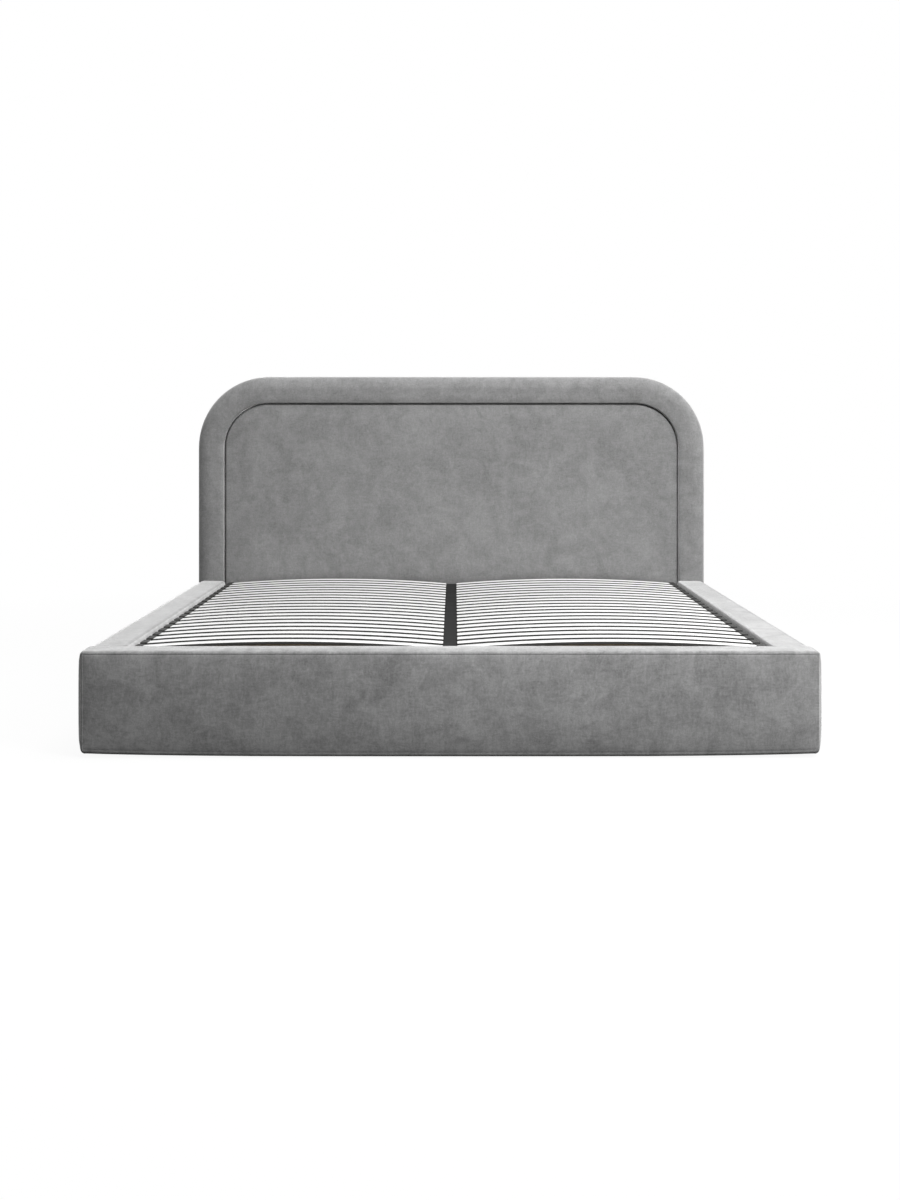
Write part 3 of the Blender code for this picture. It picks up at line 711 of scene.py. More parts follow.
def round_off(piece):
    """One subdivision, so that the swollen cells read as cloth."""
    step = piece.modifiers.new("round off", 'SUBSURF')
    step.levels = 1
    step.render_levels = 1
    apply_all(piece)


def cut_with(piece, cutter):
    """Cuts a shape out of a piece and removes the cutting shape."""
    step = piece.modifiers.new("cut", 'BOOLEAN')
    step.operation = 'DIFFERENCE'
    step.solver = 'EXACT'
    step.object = cutter
    apply_all(piece)
    delete(cutter)


def cut_away(piece, low, high):
    """Cuts the space between two corners out of a piece."""
    cut_with(piece, new_box("cutter", low, high))


# %% [markdown]
# ## Footboard
#
# The footboard's cover is boxed: a front panel is sewn to strips that run over the top, round the two
# ends and underneath. The end strips swell well past their seams, so the corners are generously round,
# while the strip on top is cut tighter than the panel. The corners are rolled first, then the upper rim
# and the lower one, as one would bevel them by hand. The seam is held in the simulation while the
# panels on both its sides swell, and then drawn in a little. A loop of edges close beside it keeps the
# fold narrow. What is cut out for the board leaves a thin skirt behind it, down to the hem.

# %% Footboard cover
HEM_TOP = CENTRE_LOW.z
HEM_THICKNESS = 0.008
OVERRUN = 0.02
CORNER_ROLL = 0.008
BACK_ROLL = 0.014
TOP_ROLL = 0.0085
TOP_RISE = 0.004
SEAM_DROP = 0.010
BOTTOM_ROLL = 0.012
CROWN_FALL, CROWN_REACH = 0.002, 0.06
STRIP_FULLNESS = 0.25
FOOT_RISE = Vector((0.013, 0.010, 0.0015))
BOTTOM_SAG = 0.003
FLOOR_PLAY = 0.0007
END_LIFT = 0.010
SEAM_SIDE = 0.002
SEAM_DEPTH = 0.0015

block_low = Vector((FOOT_LOW.x + FOOT_RISE.x, FOOT_LOW.y + FOOT_RISE.y,
                    FOOT_LOW.z + BOTTOM_SAG - FLOOR_PLAY))
block_high = Vector((FOOT_HIGH.x - FOOT_RISE.x, FOOT_HIGH.y, FOOT_HIGH.z - FOOT_RISE.z))
end_seam = block_high.x - CORNER_ROLL
top_seam = block_high.z - SEAM_DROP
bottom_seam = block_low.z + BOTTOM_ROLL

foot_cover = new_box("footboard_cover", block_low, block_high)
edit(foot_cover)
roll_edges(along_at(2, y=block_low.y), CORNER_ROLL, segments=6)
roll_edges(along_at(2, y=block_high.y), BACK_ROLL, segments=4)
roll_edges(lies_at(2, block_high.z), TOP_ROLL, segments=4)
roll_edges(lies_at(2, block_low.z), BOTTOM_ROLL, segments=4)
divide()
cut_loops(0, SEAM_SIDE - end_seam, end_seam - SEAM_SIDE)
cut_loops(2, bottom_seam + SEAM_SIDE, top_seam - SEAM_SIDE, top_seam, top_seam + SEAM_SIDE)
start_clean()


def on_front_seam(points):
    """The seam round the front panel."""
    at_front = np.abs(points[:, 1] - block_low.y)
    across = np.abs(np.abs(points[:, 0]) - end_seam)
    level = np.minimum(np.abs(points[:, 2] - top_seam), np.abs(points[:, 2] - bottom_seam))
    return (at_front < STILL_THERE) & (np.minimum(across, level) < STILL_THERE)


def held_on_foot(points):
    """The seam in front and the edge that is nailed behind."""
    return on_front_seam(points) | (points[:, 1] > block_high.y - STILL_THERE)


def ease_to_front(cover, flat):
    """Lets the top fall softly towards the seam in front, with the strip over it held back."""
    points = places(cover)
    on_strip = np.clip((flat[:, 2] - top_seam) / SEAM_SIDE, 0, 1)
    points[:, 1] -= (points[:, 1] - flat[:, 1]) * on_strip * (1 - STRIP_FULLNESS)
    near = np.clip(1 - (points[:, 1] - block_low.y) / CROWN_REACH, 0, 1) ** 2
    above = np.clip((points[:, 2] - top_seam) / (block_high.z - top_seam), 0, 1)
    points[:, 2] -= CROWN_FALL * near * above
    move_to(cover, points)


def lift_lower_ends(cover):
    """Draws the lower rim in front up towards the two ends, where the end strips pull on it."""
    points = places(cover)
    reach = np.clip(np.abs(points[:, 0]) / FOOT_HIGH.x, 0, 1) ** 4
    below = np.clip((block_high.z - points[:, 2]) / (block_high.z - block_low.z), 0, 1) ** 2
    before_board = np.clip((FOOT_BOARD_LOW.y - points[:, 1]) / (FOOT_BOARD_LOW.y - block_low.y), 0, 1)
    points[:, 2] += END_LIFT * reach * below * before_board
    move_to(cover, points)


foot_seam = on_front_seam(places(foot_cover))
foot_flat = inflate(foot_cover, held_on_foot, down=(FOOT_RISE.x, FOOT_RISE.y, BOTTOM_SAG),
                    up=(FOOT_RISE.x, 0, TOP_RISE), pressure=30, tension=8, fullness=1.0)
ease_to_front(foot_cover, foot_flat)
lift_lower_ends(foot_cover)
draw_in(foot_cover, foot_seam, SEAM_DEPTH)
round_off(foot_cover)
room = FOOT_BOARD_HIGH.x + SEAT_GAP
cut_away(foot_cover, (-room, FOOT_BOARD_LOW.y - SEAT_GAP, -OVERRUN),
         (room, FOOT_HIGH.y - HEM_THICKNESS + SEAT_GAP, FOOT_BOARD_HIGH.z + SEAT_GAP))
cut_away(foot_cover, (-room, FOOT_BOARD_LOW.y - SEAT_GAP, -OVERRUN),
         (room, FOOT_HIGH.y + OVERRUN, HEM_TOP))
smooth(foot_cover)
dress(foot_cover, "bed_base", VELVET, "upholstery", "footboard_pad")
print("footboard seams at", round(end_seam, 3), round(top_seam, 3), round(bottom_seam, 3))

# %% [markdown]
# ## Side rails
#
# Each rail is a board on edge with foam saddled over it. Its cover has no seam on top, so the two upper
# edges are one soft roll each. Its inner side is drawn tight down to the hem, and its two ends are
# pressed against the footboard and the headboard, so they stay flat. The inner sides carry painted light
# and shade: the left one, which faces the light, gets a paler velvet, the right one, in shade, a darker one
# with less sheen.

# %% Rail covers
RAIL_INNER_ROLL = 0.013
RAIL_OUTER_ROLL = 0.025
RAIL_FOOT_ROLL = 0.012
BUTT_ROLL = 0.006
RAIL_RISE = Vector((0.005, 0, 0.001))
RAIL_SAG = 0.004
INWARD = 0.7


def round_the_end(end, inner, bottom):
    """A test for the rim of a rail's end face, except on its inner side and underneath."""
    on_end, inside, underneath = lies_at(1, end), lies_at(0, inner), lies_at(2, bottom)
    return lambda part: on_end(part) and not inside(part) and not underneath(part)


def rail_cover(side, sign):
    """One rail's cover; sign is -1 on the left and 1 on the right."""
    low = Vector((RAIL_LOW.x, RAIL_LOW.y, RAIL_LOW.z + RAIL_SAG))
    high = Vector((RAIL_HIGH.x - RAIL_RISE.x, RAIL_HIGH.y, RAIL_HIGH.z - RAIL_RISE.z))
    near, far = sorted((sign * low.x, sign * high.x))
    outer = sign * high.x
    cover = new_box(f"rail_cover_{side}", (near, low.y, low.z), (far, high.y, high.z))
    edit(cover)
    roll_edges(along_at(1, x=outer, z=high.z), RAIL_OUTER_ROLL, segments=6)
    roll_edges(along_at(1, x=sign * low.x, z=high.z), RAIL_INNER_ROLL, segments=5)
    roll_edges(along_at(1, x=outer, z=low.z), RAIL_FOOT_ROLL, segments=3)
    for end in (low.y, high.y):
        roll_edges(round_the_end(end, sign * low.x, low.z), BUTT_ROLL, segments=3)
    divide()
    start_clean()

    def held(points):
        ends = (points[:, 1] < low.y + STILL_THERE) | (points[:, 1] > high.y - STILL_THERE)
        return ends | (sign * points[:, 0] < low.x + STILL_THERE)

    down = (RAIL_RISE.x if sign < 0 else 0, 0, RAIL_SAG)
    up = (RAIL_RISE.x if sign > 0 else 0, 0, RAIL_RISE.z)
    inflate(cover, held, down, up, pressure=20, tension=10, fullness=2.5)
    round_off(cover)
    hem, board = RAIL_LOW.x + HEM_THICKNESS - SEAT_GAP, RAIL_BOARD_HIGH.x + SEAT_GAP
    for inner, top in ((hem, RAIL_BOARD_HIGH.z + SEAT_GAP), (RAIL_LOW.x - OVERRUN, HEM_TOP)):
        near, far = sorted((sign * inner, sign * board))
        cut_away(cover, (near, low.y - OVERRUN, -OVERRUN), (far, high.y + OVERRUN, top))
    smooth(cover)
    dress(cover, "bed_base", VELVET, "upholstery", f"side_rail_pad_{side}")
    # The inner faces get the painted light or painted shade copy of the velvet for their side.
    cover.data.materials.append(PAINTED_LIGHT_INSIDE_VELVET[side])
    for face in cover.data.polygons:
        face.material_index = 1 if sign * face.normal.x < -INWARD else 0


for side, sign in SIDES:
    rail_cover(side, sign)

# %% [markdown]
# ## Headboard
#
# The headboard is a panel with an arched outline. A fat roll of padding follows the arch from floor to
# floor, and a flatter pad fills the space inside it. Both covers turn in between the two, which leaves
# a narrow dark groove. The roll is made as an upholsterer lays it: one section is carried up the left
# leg, spun round the left corner, carried across the top, spun round the right corner and down again.

# %% Section carried along the arch
ARCH_RADIUS = 0.284
ARC_STEPS = 18
QUARTER_TURN = math.radians(90)
arch_centre = BORDER_HIGH.x - ARCH_RADIUS
arch_spring = BORDER_HIGH.z - ARCH_RADIUS


def new_section(name, low, high):
    """A flat rectangle that lies level at the left foot of the arch, in edit mode."""
    start_clean()
    low, high = Vector(low), Vector(high)
    bpy.ops.mesh.primitive_plane_add(size=1, location=(low + high) / 2)
    piece = bpy.context.object
    piece.name = name
    piece.data.name = name
    piece.scale = (high.x - low.x, high.y - low.y, 1)
    bpy.ops.object.transform_apply(location=True, rotation=True, scale=True)
    edit(piece)
    return piece


def carry_round_arch(foot):
    """Extrudes and spins the section in edit mode along the arch, from its left foot to its right."""
    rise = arch_spring - foot
    bpy.ops.mesh.select_all(action='SELECT')
    bpy.ops.mesh.extrude_region_move(TRANSFORM_OT_translate={"value": (0, 0, rise)})
    bpy.ops.mesh.spin(steps=ARC_STEPS, angle=-QUARTER_TURN, center=(-arch_centre, 0, arch_spring),
                      axis=(0, 1, 0))
    bpy.ops.mesh.extrude_region_move(TRANSFORM_OT_translate={"value": (2 * arch_centre, 0, 0)})
    bpy.ops.mesh.spin(steps=ARC_STEPS, angle=-QUARTER_TURN, center=(arch_centre, 0, arch_spring),
                      axis=(0, 1, 0))
    bpy.ops.mesh.extrude_region_move(TRANSFORM_OT_translate={"value": (0, 0, -rise)})
    bpy.ops.mesh.select_all(action='SELECT')
    bpy.ops.mesh.remove_doubles(threshold=SAME_PLACE)
    bpy.ops.mesh.normals_make_consistent(inside=False)


def round_corner(x, y, roll, segments):
    """Rounds one corner of the flat section."""
    pick('VERT', lambda vert: abs(vert.co.x - x) < SAME_PLACE and abs(vert.co.y - y) < SAME_PLACE)
    bpy.ops.mesh.bevel(offset=roll, segments=segments, profile=0.5, affect='VERTICES')


# %% Border cover
BORDER_WIDTH = 0.1064
FRONT_ROLL = 0.045
BORDER_BACK_ROLL = 0.008
GROOVE_WIDTH = 0.008
GROOVE_ROLL = 0.005
BORDER_RISE = 0.003
PANEL_INSET = 0.024
ARCH_CELL = 0.015

outer, groove = BORDER_LOW.x, BORDER_LOW.x + BORDER_WIDTH
front, back = BORDER_LOW.y + BORDER_RISE, BORDER_HIGH.y
border = new_section("headboard_border_cover", (outer, front, BORDER_LOW.z), (groove, back, BORDER_LOW.z))
round_corner(outer, front, FRONT_ROLL, segments=8)
round_corner(groove, front, GROOVE_ROLL, segments=4)
round_corner(outer, back, BORDER_BACK_ROLL, segments=3)
divide(CELL, (0, 1))
carry_round_arch(BORDER_LOW.z)
divide(ARCH_CELL, (2, 0))
start_clean()


def arch_inset(points):
    """How far each point lies inside the outline of the arch."""
    across = np.abs(points[:, 0])
    in_corner = (across > arch_centre) & (points[:, 2] > arch_spring)
    reach = np.hypot(across - arch_centre, points[:, 2] - arch_spring)
    straight = np.minimum(BORDER_HIGH.x - across, BORDER_HIGH.z - points[:, 2])
    return np.where(in_corner, ARCH_RADIUS - reach, straight)


def held_on_border(points):
    """Both feet, the back, and the side that turns into the groove."""
    at_floor = points[:, 2] < BORDER_LOW.z + STILL_THERE
    behind = points[:, 1] > back - BORDER_BACK_ROLL
    in_groove = (arch_inset(points) > BORDER_WIDTH - STILL_THERE) & (points[:, 1] > front + GROOVE_ROLL / 2)
    return at_floor | behind | in_groove


inflate(border, held_on_border, down=(0, BORDER_RISE, 0), up=(0, 0, 0),
        pressure=12, tension=12, fullness=2.0)
round_off(border)
plinth_half = RAIL_BOARD_HIGH.x + SEAT_GAP
cut_away(border, (-plinth_half, front - OVERRUN, -OVERRUN), (plinth_half, back + OVERRUN, HEM_TOP))
panel_room = new_box("panel_room", (PANEL_LOW.x - SEAT_GAP, CENTRE_HIGH.y, -OVERRUN),
                     (PANEL_HIGH.x + SEAT_GAP, back + OVERRUN, PANEL_HIGH.z + SEAT_GAP))
room_radius = ARCH_RADIUS - PANEL_INSET + SEAT_GAP
edit(panel_room)
for half in (PANEL_LOW.x - SEAT_GAP, PANEL_HIGH.x + SEAT_GAP):
    roll_edges(along_at(1, x=half, z=PANEL_HIGH.z + SEAT_GAP), room_radius, segments=2 * ARC_STEPS)
start_clean()
cut_with(border, panel_room)
smooth(border)
dress(border, "bed_base", HEAD_VELVET, "upholstery", "headboard_border_pad")
print("border", BORDER_WIDTH, "wide,", len(border.data.polygons), "faces")

# %% [markdown]
# ## Centre of the headboard
#
# The centre pad begins as a square block with a rolled front rim. Its two upper corners are then drawn
# in to the arch: each square ring of points round a corner becomes a round one of the same reach, so
# that the roll keeps its depth all the way round.

# %% Centre cover
CENTRE_RISE = 0.008
corner_radius = ARCH_RADIUS - BORDER_WIDTH - GROOVE_WIDTH

centre_front = CENTRE_LOW.y + CENTRE_RISE
centre_half = -groove - GROOVE_WIDTH
centre_top = arch_spring + corner_radius
centre = new_box("headboard_centre_cover", (-centre_half, centre_front, CENTRE_LOW.z),
                 (centre_half, CENTRE_HIGH.y, centre_top))
edit(centre)
roll_edges(lies_at(1, centre_front), GROOVE_ROLL, segments=4)
divide(CELL, (0, 2))
start_clean()


def draw_corners_in(piece):
    """Turns the square rings of points at the two upper corners into round ones."""
    points = places(piece)
    side = np.sign(points[:, 0])
    across = (np.abs(points[:, 0]) - arch_centre) / corner_radius
    rise = (points[:, 2] - arch_spring) / corner_radius
    inside = (across > 0) & (rise > 0)
    across, rise, side = across[inside], rise[inside], side[inside]
    reach = np.maximum(across, rise) / np.hypot(across, rise)
    points[inside, 0] = side * (arch_centre + corner_radius * across * reach)
    points[inside, 2] = arch_spring + corner_radius * rise * reach
    move_to(piece, points)


def held_on_centre(points):
    """All that lies behind the middle of the rolled rim."""
    return points[:, 1] > centre_front + GROOVE_ROLL / 2


draw_corners_in(centre)
inflate(centre, held_on_centre, down=(0, CENTRE_RISE, 0), up=(0, 0, 0),
        pressure=6, tension=12, fullness=4.0)
round_off(centre)
smooth(centre)
dress(centre, "bed_base", HEAD_VELVET, "upholstery", "headboard_centre_pad")
print("centre", round(2 * centre_half, 3), "wide,", len(centre.data.polygons), "faces")

# %% [markdown]
# ## Lining of the groove
#
# The bottom of the groove is lined with a strip of the same velvet, so nothing of the panel shows. It is
# a thin flat section, carried round the arch as the border was.

# %% Groove lining
LINING_DEPTH = 0.030
LINING_THICKNESS = 0.003
lining_front = CENTRE_LOW.y + LINING_DEPTH
lining = new_section("groove_lining", (groove + SEAT_GAP, lining_front, HEM_TOP),
                     (-centre_half - SEAT_GAP, lining_front + LINING_THICKNESS, HEM_TOP))
carry_round_arch(HEM_TOP)
smooth(lining)
dress(lining, "bed_base", VELVET, "upholstery")
print("groove", round(GROOVE_WIDTH * 1000, 1), "mm wide")

# %% [markdown]
# ## Wood
#
# The slats are glued from thin plies and faced with a near-white film through which a little grain
# shows. Their edges carry painted shade: a near-black material stands in for the shadow between the
# slats. The wooden parts inside the bed are cheaper: chipboard walls made of pressed flakes, and a plain
# pine batten. Grain and flakes are two shared groups, placed with each material's own values.

# %% Grain and flakes as node groups


def wood_grain_group():
    """Long fibres along X, broken by a few darker growth lines."""
    group, start, end = new_group(
        "wood_grain",
        [("Vector", 'NodeSocketVector', None), ("Strength", 'NodeSocketFloat', 1.0)],
        [("Shade", 'NodeSocketFloat'), ("Height", 'NodeSocketFloat')])
    vector = start.outputs["Vector"]
    fibres = noise(group, stretch(group, vector, (0.02, 1.0, 1.0)), 420, 3, 0.6)
    growth = noise(group, stretch(group, vector, (0.06, 1.0, 1.0)), 46, 4, 0.55, 0.8)
    boards = noise(group, stretch(group, vector, (0.2, 1.0, 1.0)), 9, 1, 0.5)
    total = add_pattern(group, fibres, 0.3, 0.7, 0.035)
    total = add_pattern(group, growth, 0.35, 0.65, 0.05, total)
    total = add_pattern(group, boards, 0.3, 0.7, 0.03, total)
    shade = maths(group, 'MULTIPLY_ADD', total, start.outputs["Strength"], 1.0)
    group.links.new(shade, end.inputs["Shade"])
    group.links.new(fibres, end.inputs["Height"])
    return group


def flakes_group():
    """Pressed flakes of wood, each with its own shade, and finer dust between them."""
    group, start, end = new_group(
        "pressed_flakes",
        [("Vector", 'NodeSocketVector', None), ("Scale", 'NodeSocketFloat', 240.0),
         ("Strength", 'NodeSocketFloat', 1.0)],
        [("Shade", 'NodeSocketFloat'), ("Height", 'NodeSocketFloat')])
    vector = start.outputs["Vector"]
    cells = group.nodes.new("ShaderNodeTexVoronoi")
    group.links.new(vector, cells.inputs["Vector"])
    group.links.new(start.outputs["Scale"], cells.inputs["Scale"])
    split = group.nodes.new("ShaderNodeSeparateColor")
    group.links.new(cells.outputs["Color"], split.inputs["Color"])
    total = add_pattern(group, split.outputs["Red"], 0, 1, 0.22)
    total = add_pattern(group, noise(group, vector, 900, 3, 0.7), 0.3, 0.7, 0.08, total)
    total = add_pattern(group, noise(group, vector, 4.0, 4, 0.6), 0.3, 0.7, 0.08, total)
    shade = maths(group, 'MULTIPLY_ADD', total, start.outputs["Strength"], 1.0)
    group.links.new(shade, end.inputs["Shade"])
    group.links.new(split.outputs["Green"], end.inputs["Height"])
    return group


WOOD_GRAIN = wood_grain_group()
PRESSED_FLAKES = flakes_group()


# %% Wooden materials
WOOD_SPECULAR = 0.25


def wooden(name, colour, roughness, group, height, **values):
    """A material whose colour, roughness and bump come from one of the shared wood groups."""
    material, tree, shader = new_material(name, roughness)
    shader.inputs["Specular IOR Level"].default_value = WOOD_SPECULAR
    pattern = place_group(tree, group, **values)
    tree.links.new(object_place(tree), pattern.inputs["Vector"])
    tree.links.new(tint(tree, colour, pattern.outputs["Shade"]), shader.inputs["Base Color"])
    matt = maths(tree, 'MULTIPLY', pattern.outputs["Shade"], roughness)
    tree.links.new(matt, shader.inputs["Roughness"])
    add_bump(tree, shader, pattern.outputs["Height"], height)
    return material


SLAT_FACE = wooden("white_faced_birch", (0.76, 0.76, 0.755), 0.5, WOOD_GRAIN, 0.00006, Strength=0.5)
# Painted shade: the slats' edges are near black, to stand in for the shadow between the slats.
SLAT_EDGE_SHADE = wooden("slat_edge_painted_shade", (0.036, 0.035, 0.033), 0.7, WOOD_GRAIN, 0.0002, Strength=3.0)
CHIPBOARD = wooden("chipboard", (0.47, 0.37, 0.25), 0.8, PRESSED_FLAKES, 0.0003)
HARDBOARD = wooden("hardboard", (0.20, 0.165, 0.130), 0.7, PRESSED_FLAKES, 0.0001, Scale=700.0,
                   Strength=0.6)
PINE = wooden("pine_batten", (0.56, 0.40, 0.235), 0.65, WOOD_GRAIN, 0.0003, Strength=2.2)
WOODS = (SLAT_FACE, SLAT_EDGE_SHADE, CHIPBOARD, HARDBOARD, PINE)
print("wooden finishes:", [material.name for material in WOODS])

# %% [markdown]
# ## Slats
#
# Forty-two bent slats lie in two banks on the steel frame. One slat is a straight bar with rounded ends
# and eased rims; it is cut into short lengths and bent into an arch in code, because the bend is a
# simple parabola. The rest are copies, each with its own mesh, laid in the places of the frame's slats.
# The frame's slats lie on the tubes; the real ones are carried a little higher by their holders, as the
# photo shows, so they are raised by that much here.

# %% One bent slat
SLAT_THICKNESS = 0.008
SLAT_RIM = 0.0010
SLAT_CORNER = 0.004
SLAT_CELL = 0.045
SLAT_ROWS = 21
SLAT_LIFT = Vector((0, 0, 0.0095))
FACE_UP = 0.95

slat_low, slat_high = (corner + SLAT_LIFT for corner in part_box("slat_left_01"))
arch_rise = slat_high.z - slat_low.z - SLAT_THICKNESS
slat_top = slat_low.z + SLAT_THICKNESS
slat = new_box("bent_slat_left_01", slat_low, (slat_high.x, slat_high.y, slat_top))
edit(slat)
roll_edges(runs_along(2), SLAT_CORNER, segments=2)
roll_edges(lies_at(2, slat_top), SLAT_RIM, segments=2)
roll_edges(lies_at(2, slat_low.z), SLAT_RIM, segments=1)
divide(SLAT_CELL, (0,))
start_clean()
spots = places(slat)
share = 2 * (spots[:, 0] - slat_low.x) / (slat_high.x - slat_low.x) - 1
spots[:, 2] += arch_rise * (1 - share ** 2)
move_to(slat, spots)
smooth(slat, angle=35)
print("one slat has", len(slat.data.polygons), "faces and rises", round(arch_rise * 1000, 1), "mm")

# %% Both banks of slats
slat_pieces = []
for side, sign in SIDES:
    for row in range(1, SLAT_ROWS + 1):
        node = f"slat_{side}_{row:02d}"
        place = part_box(node)[0]
        shift = (place.x - slat_low.x, place.y - slat_low.y, 0)
        first = side == "left" and row == 1
        slat_pieces.append(slat if first else copy_piece(slat, f"bent_{node}", shift))
        dress(slat_pieces[-1], "slat_lift", SLAT_FACE, "birch", node)


def paint_edge_shade(piece):
    """Gives the upright faces and the eased rims of a slat the near-black painted-shade material."""
    piece.data.materials.append(SLAT_EDGE_SHADE)
    for face in piece.data.polygons:
        face.material_index = 1 if abs(face.normal.z) < FACE_UP else 0


for piece in slat_pieces:
    paint_edge_shade(piece)
print(len(slat_pieces), "slats")

# %% [markdown]
# ## Steel and plastic
#
# The frame and the brackets are powder coated, the struts enamelled, their rods and the small fasteners
# plated, and the slats' holders moulded in dark plastic. None of them is perfectly even: a coat has a
# little orange peel, dust lies on it and it wears in spots. One node group makes all three, and each
# finish takes as much of the wear as suits it.

# %% Steel and plastic materials


def wear_group():
    """Worn spots, dust and the orange peel of a sprayed coat."""
    group, start, end = new_group(
        "coat_wear",
        [("Vector", 'NodeSocketVector', None), ("Wear", 'NodeSocketFloat', 1.0)],
        [("Shade", 'NodeSocketFloat'), ("Roughness", 'NodeSocketFloat'), ("Height", 'NodeSocketFloat')])
    vector = start.outputs["Vector"]
    peel = noise(group, vector, 700, 2, 0.5)
    spots = noise(group, vector, 26, 5, 0.7)
    dust = noise(group, vector, 5.0, 4, 0.6)
    dusty = ramp(group, dust, 0.35, 0.7, 0.90, 1.16)
    worn = ramp(group, spots, 0.55, 0.8, 0, 0.5)
    group.links.new(maths(group, 'MULTIPLY_ADD', worn, start.outputs["Wear"], dusty), end.inputs["Shade"])
    group.links.new(maths(group, 'MULTIPLY_ADD', dust, 0.5, 0.75), end.inputs["Roughness"])
    group.links.new(peel, end.inputs["Height"])
    return group


COAT_WEAR = wear_group()


def coated(name, colour, roughness, wear, height, metallic=0.0, shine=0.5):
    """A painted, moulded or plated surface with a little wear."""
    material, tree, shader = new_material(name, roughness, metallic)
    shader.inputs["Specular IOR Level"].default_value = shine
    coat = place_group(tree, COAT_WEAR, Wear=wear)
    tree.links.new(object_place(tree), coat.inputs["Vector"])
    tree.links.new(tint(tree, colour, coat.outputs["Shade"]), shader.inputs["Base Color"])
    matt = maths(tree, 'MULTIPLY', coat.outputs["Roughness"], roughness)
    tree.links.new(matt, shader.inputs["Roughness"])
    add_bump(tree, shader, coat.outputs["Height"], height)
    return material


STEEL = coated("dark_powder_coat", (0.024, 0.024, 0.025), 0.65, wear=0.6, height=0.00012, shine=0.12)
BLACK_PLASTIC = coated("black_plastic", (0.014, 0.014, 0.014), 0.6, wear=0.3, height=0.00004, shine=0.06)
GREY_PLASTIC = coated("grey_plastic", (0.045, 0.045, 0.044), 0.6, wear=0.3, height=0.00004, shine=0.12)
ENAMEL = coated("black_strut_enamel", (0.012, 0.012, 0.012), 0.28, wear=0.3, height=0.00002)
BRIGHT = coated("bright_rod", (0.72, 0.72, 0.72), 0.14, wear=0.1, height=0.00001, metallic=1.0)
ZINC = coated("zinc_plate", (0.58, 0.58, 0.60), 0.36, wear=0.6, height=0.00003, metallic=1.0)
print("coats:", [material.name for material in (STEEL, BLACK_PLASTIC, GREY_PLASTIC, ENAMEL, BRIGHT, ZINC)])

# %% [markdown]
# ## Slat holders
#
# Each outer slat end sits in a small dark plastic cap that stands on the tube and closes over it. On the
# beam, a low pocket carries each inner end, and one long bar between the two rows of pockets stays lower
# than the slats, so that it shows as a dark strip between the banks. Caps and pockets are boxes with
# room cut for the slat, and are then copied from row to row.

# %% One holder of each kind
HOLDER_WALL = 0.0022
HOLDER_REACH = 0.017
HOLDER_RIM = 0.0005
STRIP_DROP = 0.003

holder_foot = TUBE_TOP + SEAT_GAP
low_top = slat_top - STRIP_DROP
pocket_low = slat_low - Vector((SEAT_GAP, SEAT_GAP, SEAT_GAP))
pocket_high = Vector((slat_low.x + HOLDER_REACH, slat_high.y + SEAT_GAP, 0))
steepest = 4 * arch_rise / (slat_high.x - slat_low.x)
pocket_high.z = slat_top + steepest * HOLDER_REACH + SEAT_GAP

outer_cap = new_box("outer_cap", (pocket_low.x - HOLDER_WALL, pocket_low.y - HOLDER_WALL, holder_foot),
                    (pocket_high.x, pocket_high.y + HOLDER_WALL, pocket_high.z + HOLDER_WALL))
cut_away(outer_cap, pocket_low, pocket_high + Vector((OVERRUN, 0, 0)))
bevel_edges(outer_cap, HOLDER_RIM, segments=1)

right_cap = copy_piece(outer_cap, "right_cap", (0, 0, 0))
turn_round(right_cap, (0, (slat_low.y + slat_high.y) / 2, 0))

inner_end = -slat_high.x
pocket_reach = inner_end + HOLDER_REACH
twin_cap = new_box("twin_cap", (-pocket_reach, pocket_low.y - HOLDER_WALL, holder_foot),
                   (pocket_reach, pocket_high.y + HOLDER_WALL, low_top))
for near, far in ((-pocket_reach - OVERRUN, SEAT_GAP - inner_end),
                  (inner_end - SEAT_GAP, pocket_reach + OVERRUN)):
    cut_away(twin_cap, (near, pocket_low.y, pocket_low.z), (far, pocket_high.y, pocket_high.z))
room_for_bar = inner_end + HOLDER_WALL / 2
cut_away(twin_cap, (-room_for_bar, pocket_low.y - OVERRUN, holder_foot - OVERRUN),
         (room_for_bar, pocket_high.y + OVERRUN, slat_top + OVERRUN))
bevel_edges(twin_cap, HOLDER_RIM, segments=1)

bar_half = inner_end - 2 * SEAT_GAP
last_row_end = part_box(f"slat_left_{SLAT_ROWS:02d}")[1].y
beam_bar = new_box("beam_bar", (-bar_half, slat_low.y - HOLDER_WALL, holder_foot),
                   (bar_half, last_row_end + HOLDER_WALL, low_top))
bevel_edges(beam_bar, HOLDER_RIM, segments=1)
print("holders stand", round(holder_foot, 4), "m high, and the bar reaches", round(low_top, 4), "m")

# %% Rows of holders
HOLDERS = (("slat_caps_left", outer_cap, [], GREY_PLASTIC),
           ("slat_caps_right", right_cap, [], GREY_PLASTIC),
           ("slat_caps_beam", twin_cap, [beam_bar], BLACK_PLASTIC))
for name, model, holders, plastic in HOLDERS:
    for row in range(1, SLAT_ROWS + 1):
        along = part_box(f"slat_left_{row:02d}")[0].y - slat_low.y
        holders.append(copy_piece(model, f"cap_{row}", (0, along, 0)))
    caps = join(name, holders)
    smooth(caps, angle=30)
    dress(caps, "slat_lift", plastic, "strut_enamel")
    print(name, "has", len(caps.data.polygons), "faces")
delete(outer_cap, right_cap, twin_cap)

# %% [markdown]
# ## Frame, boards and struts
#
# The rest of the bed is already the right shape in the frame. Its pieces get copies with eased edges,
# because real tube corners, sawn boards and turned rods have a small round that catches the light. A
# frame's mesh is loose triangles, so each copy is merged and its flat faces are joined before the bevel.

# %% Eased copies
WELD, FLAT_ANGLE = 2e-6, 0.5
EASED_ANGLE, EASED_SMOOTH = 50, 32


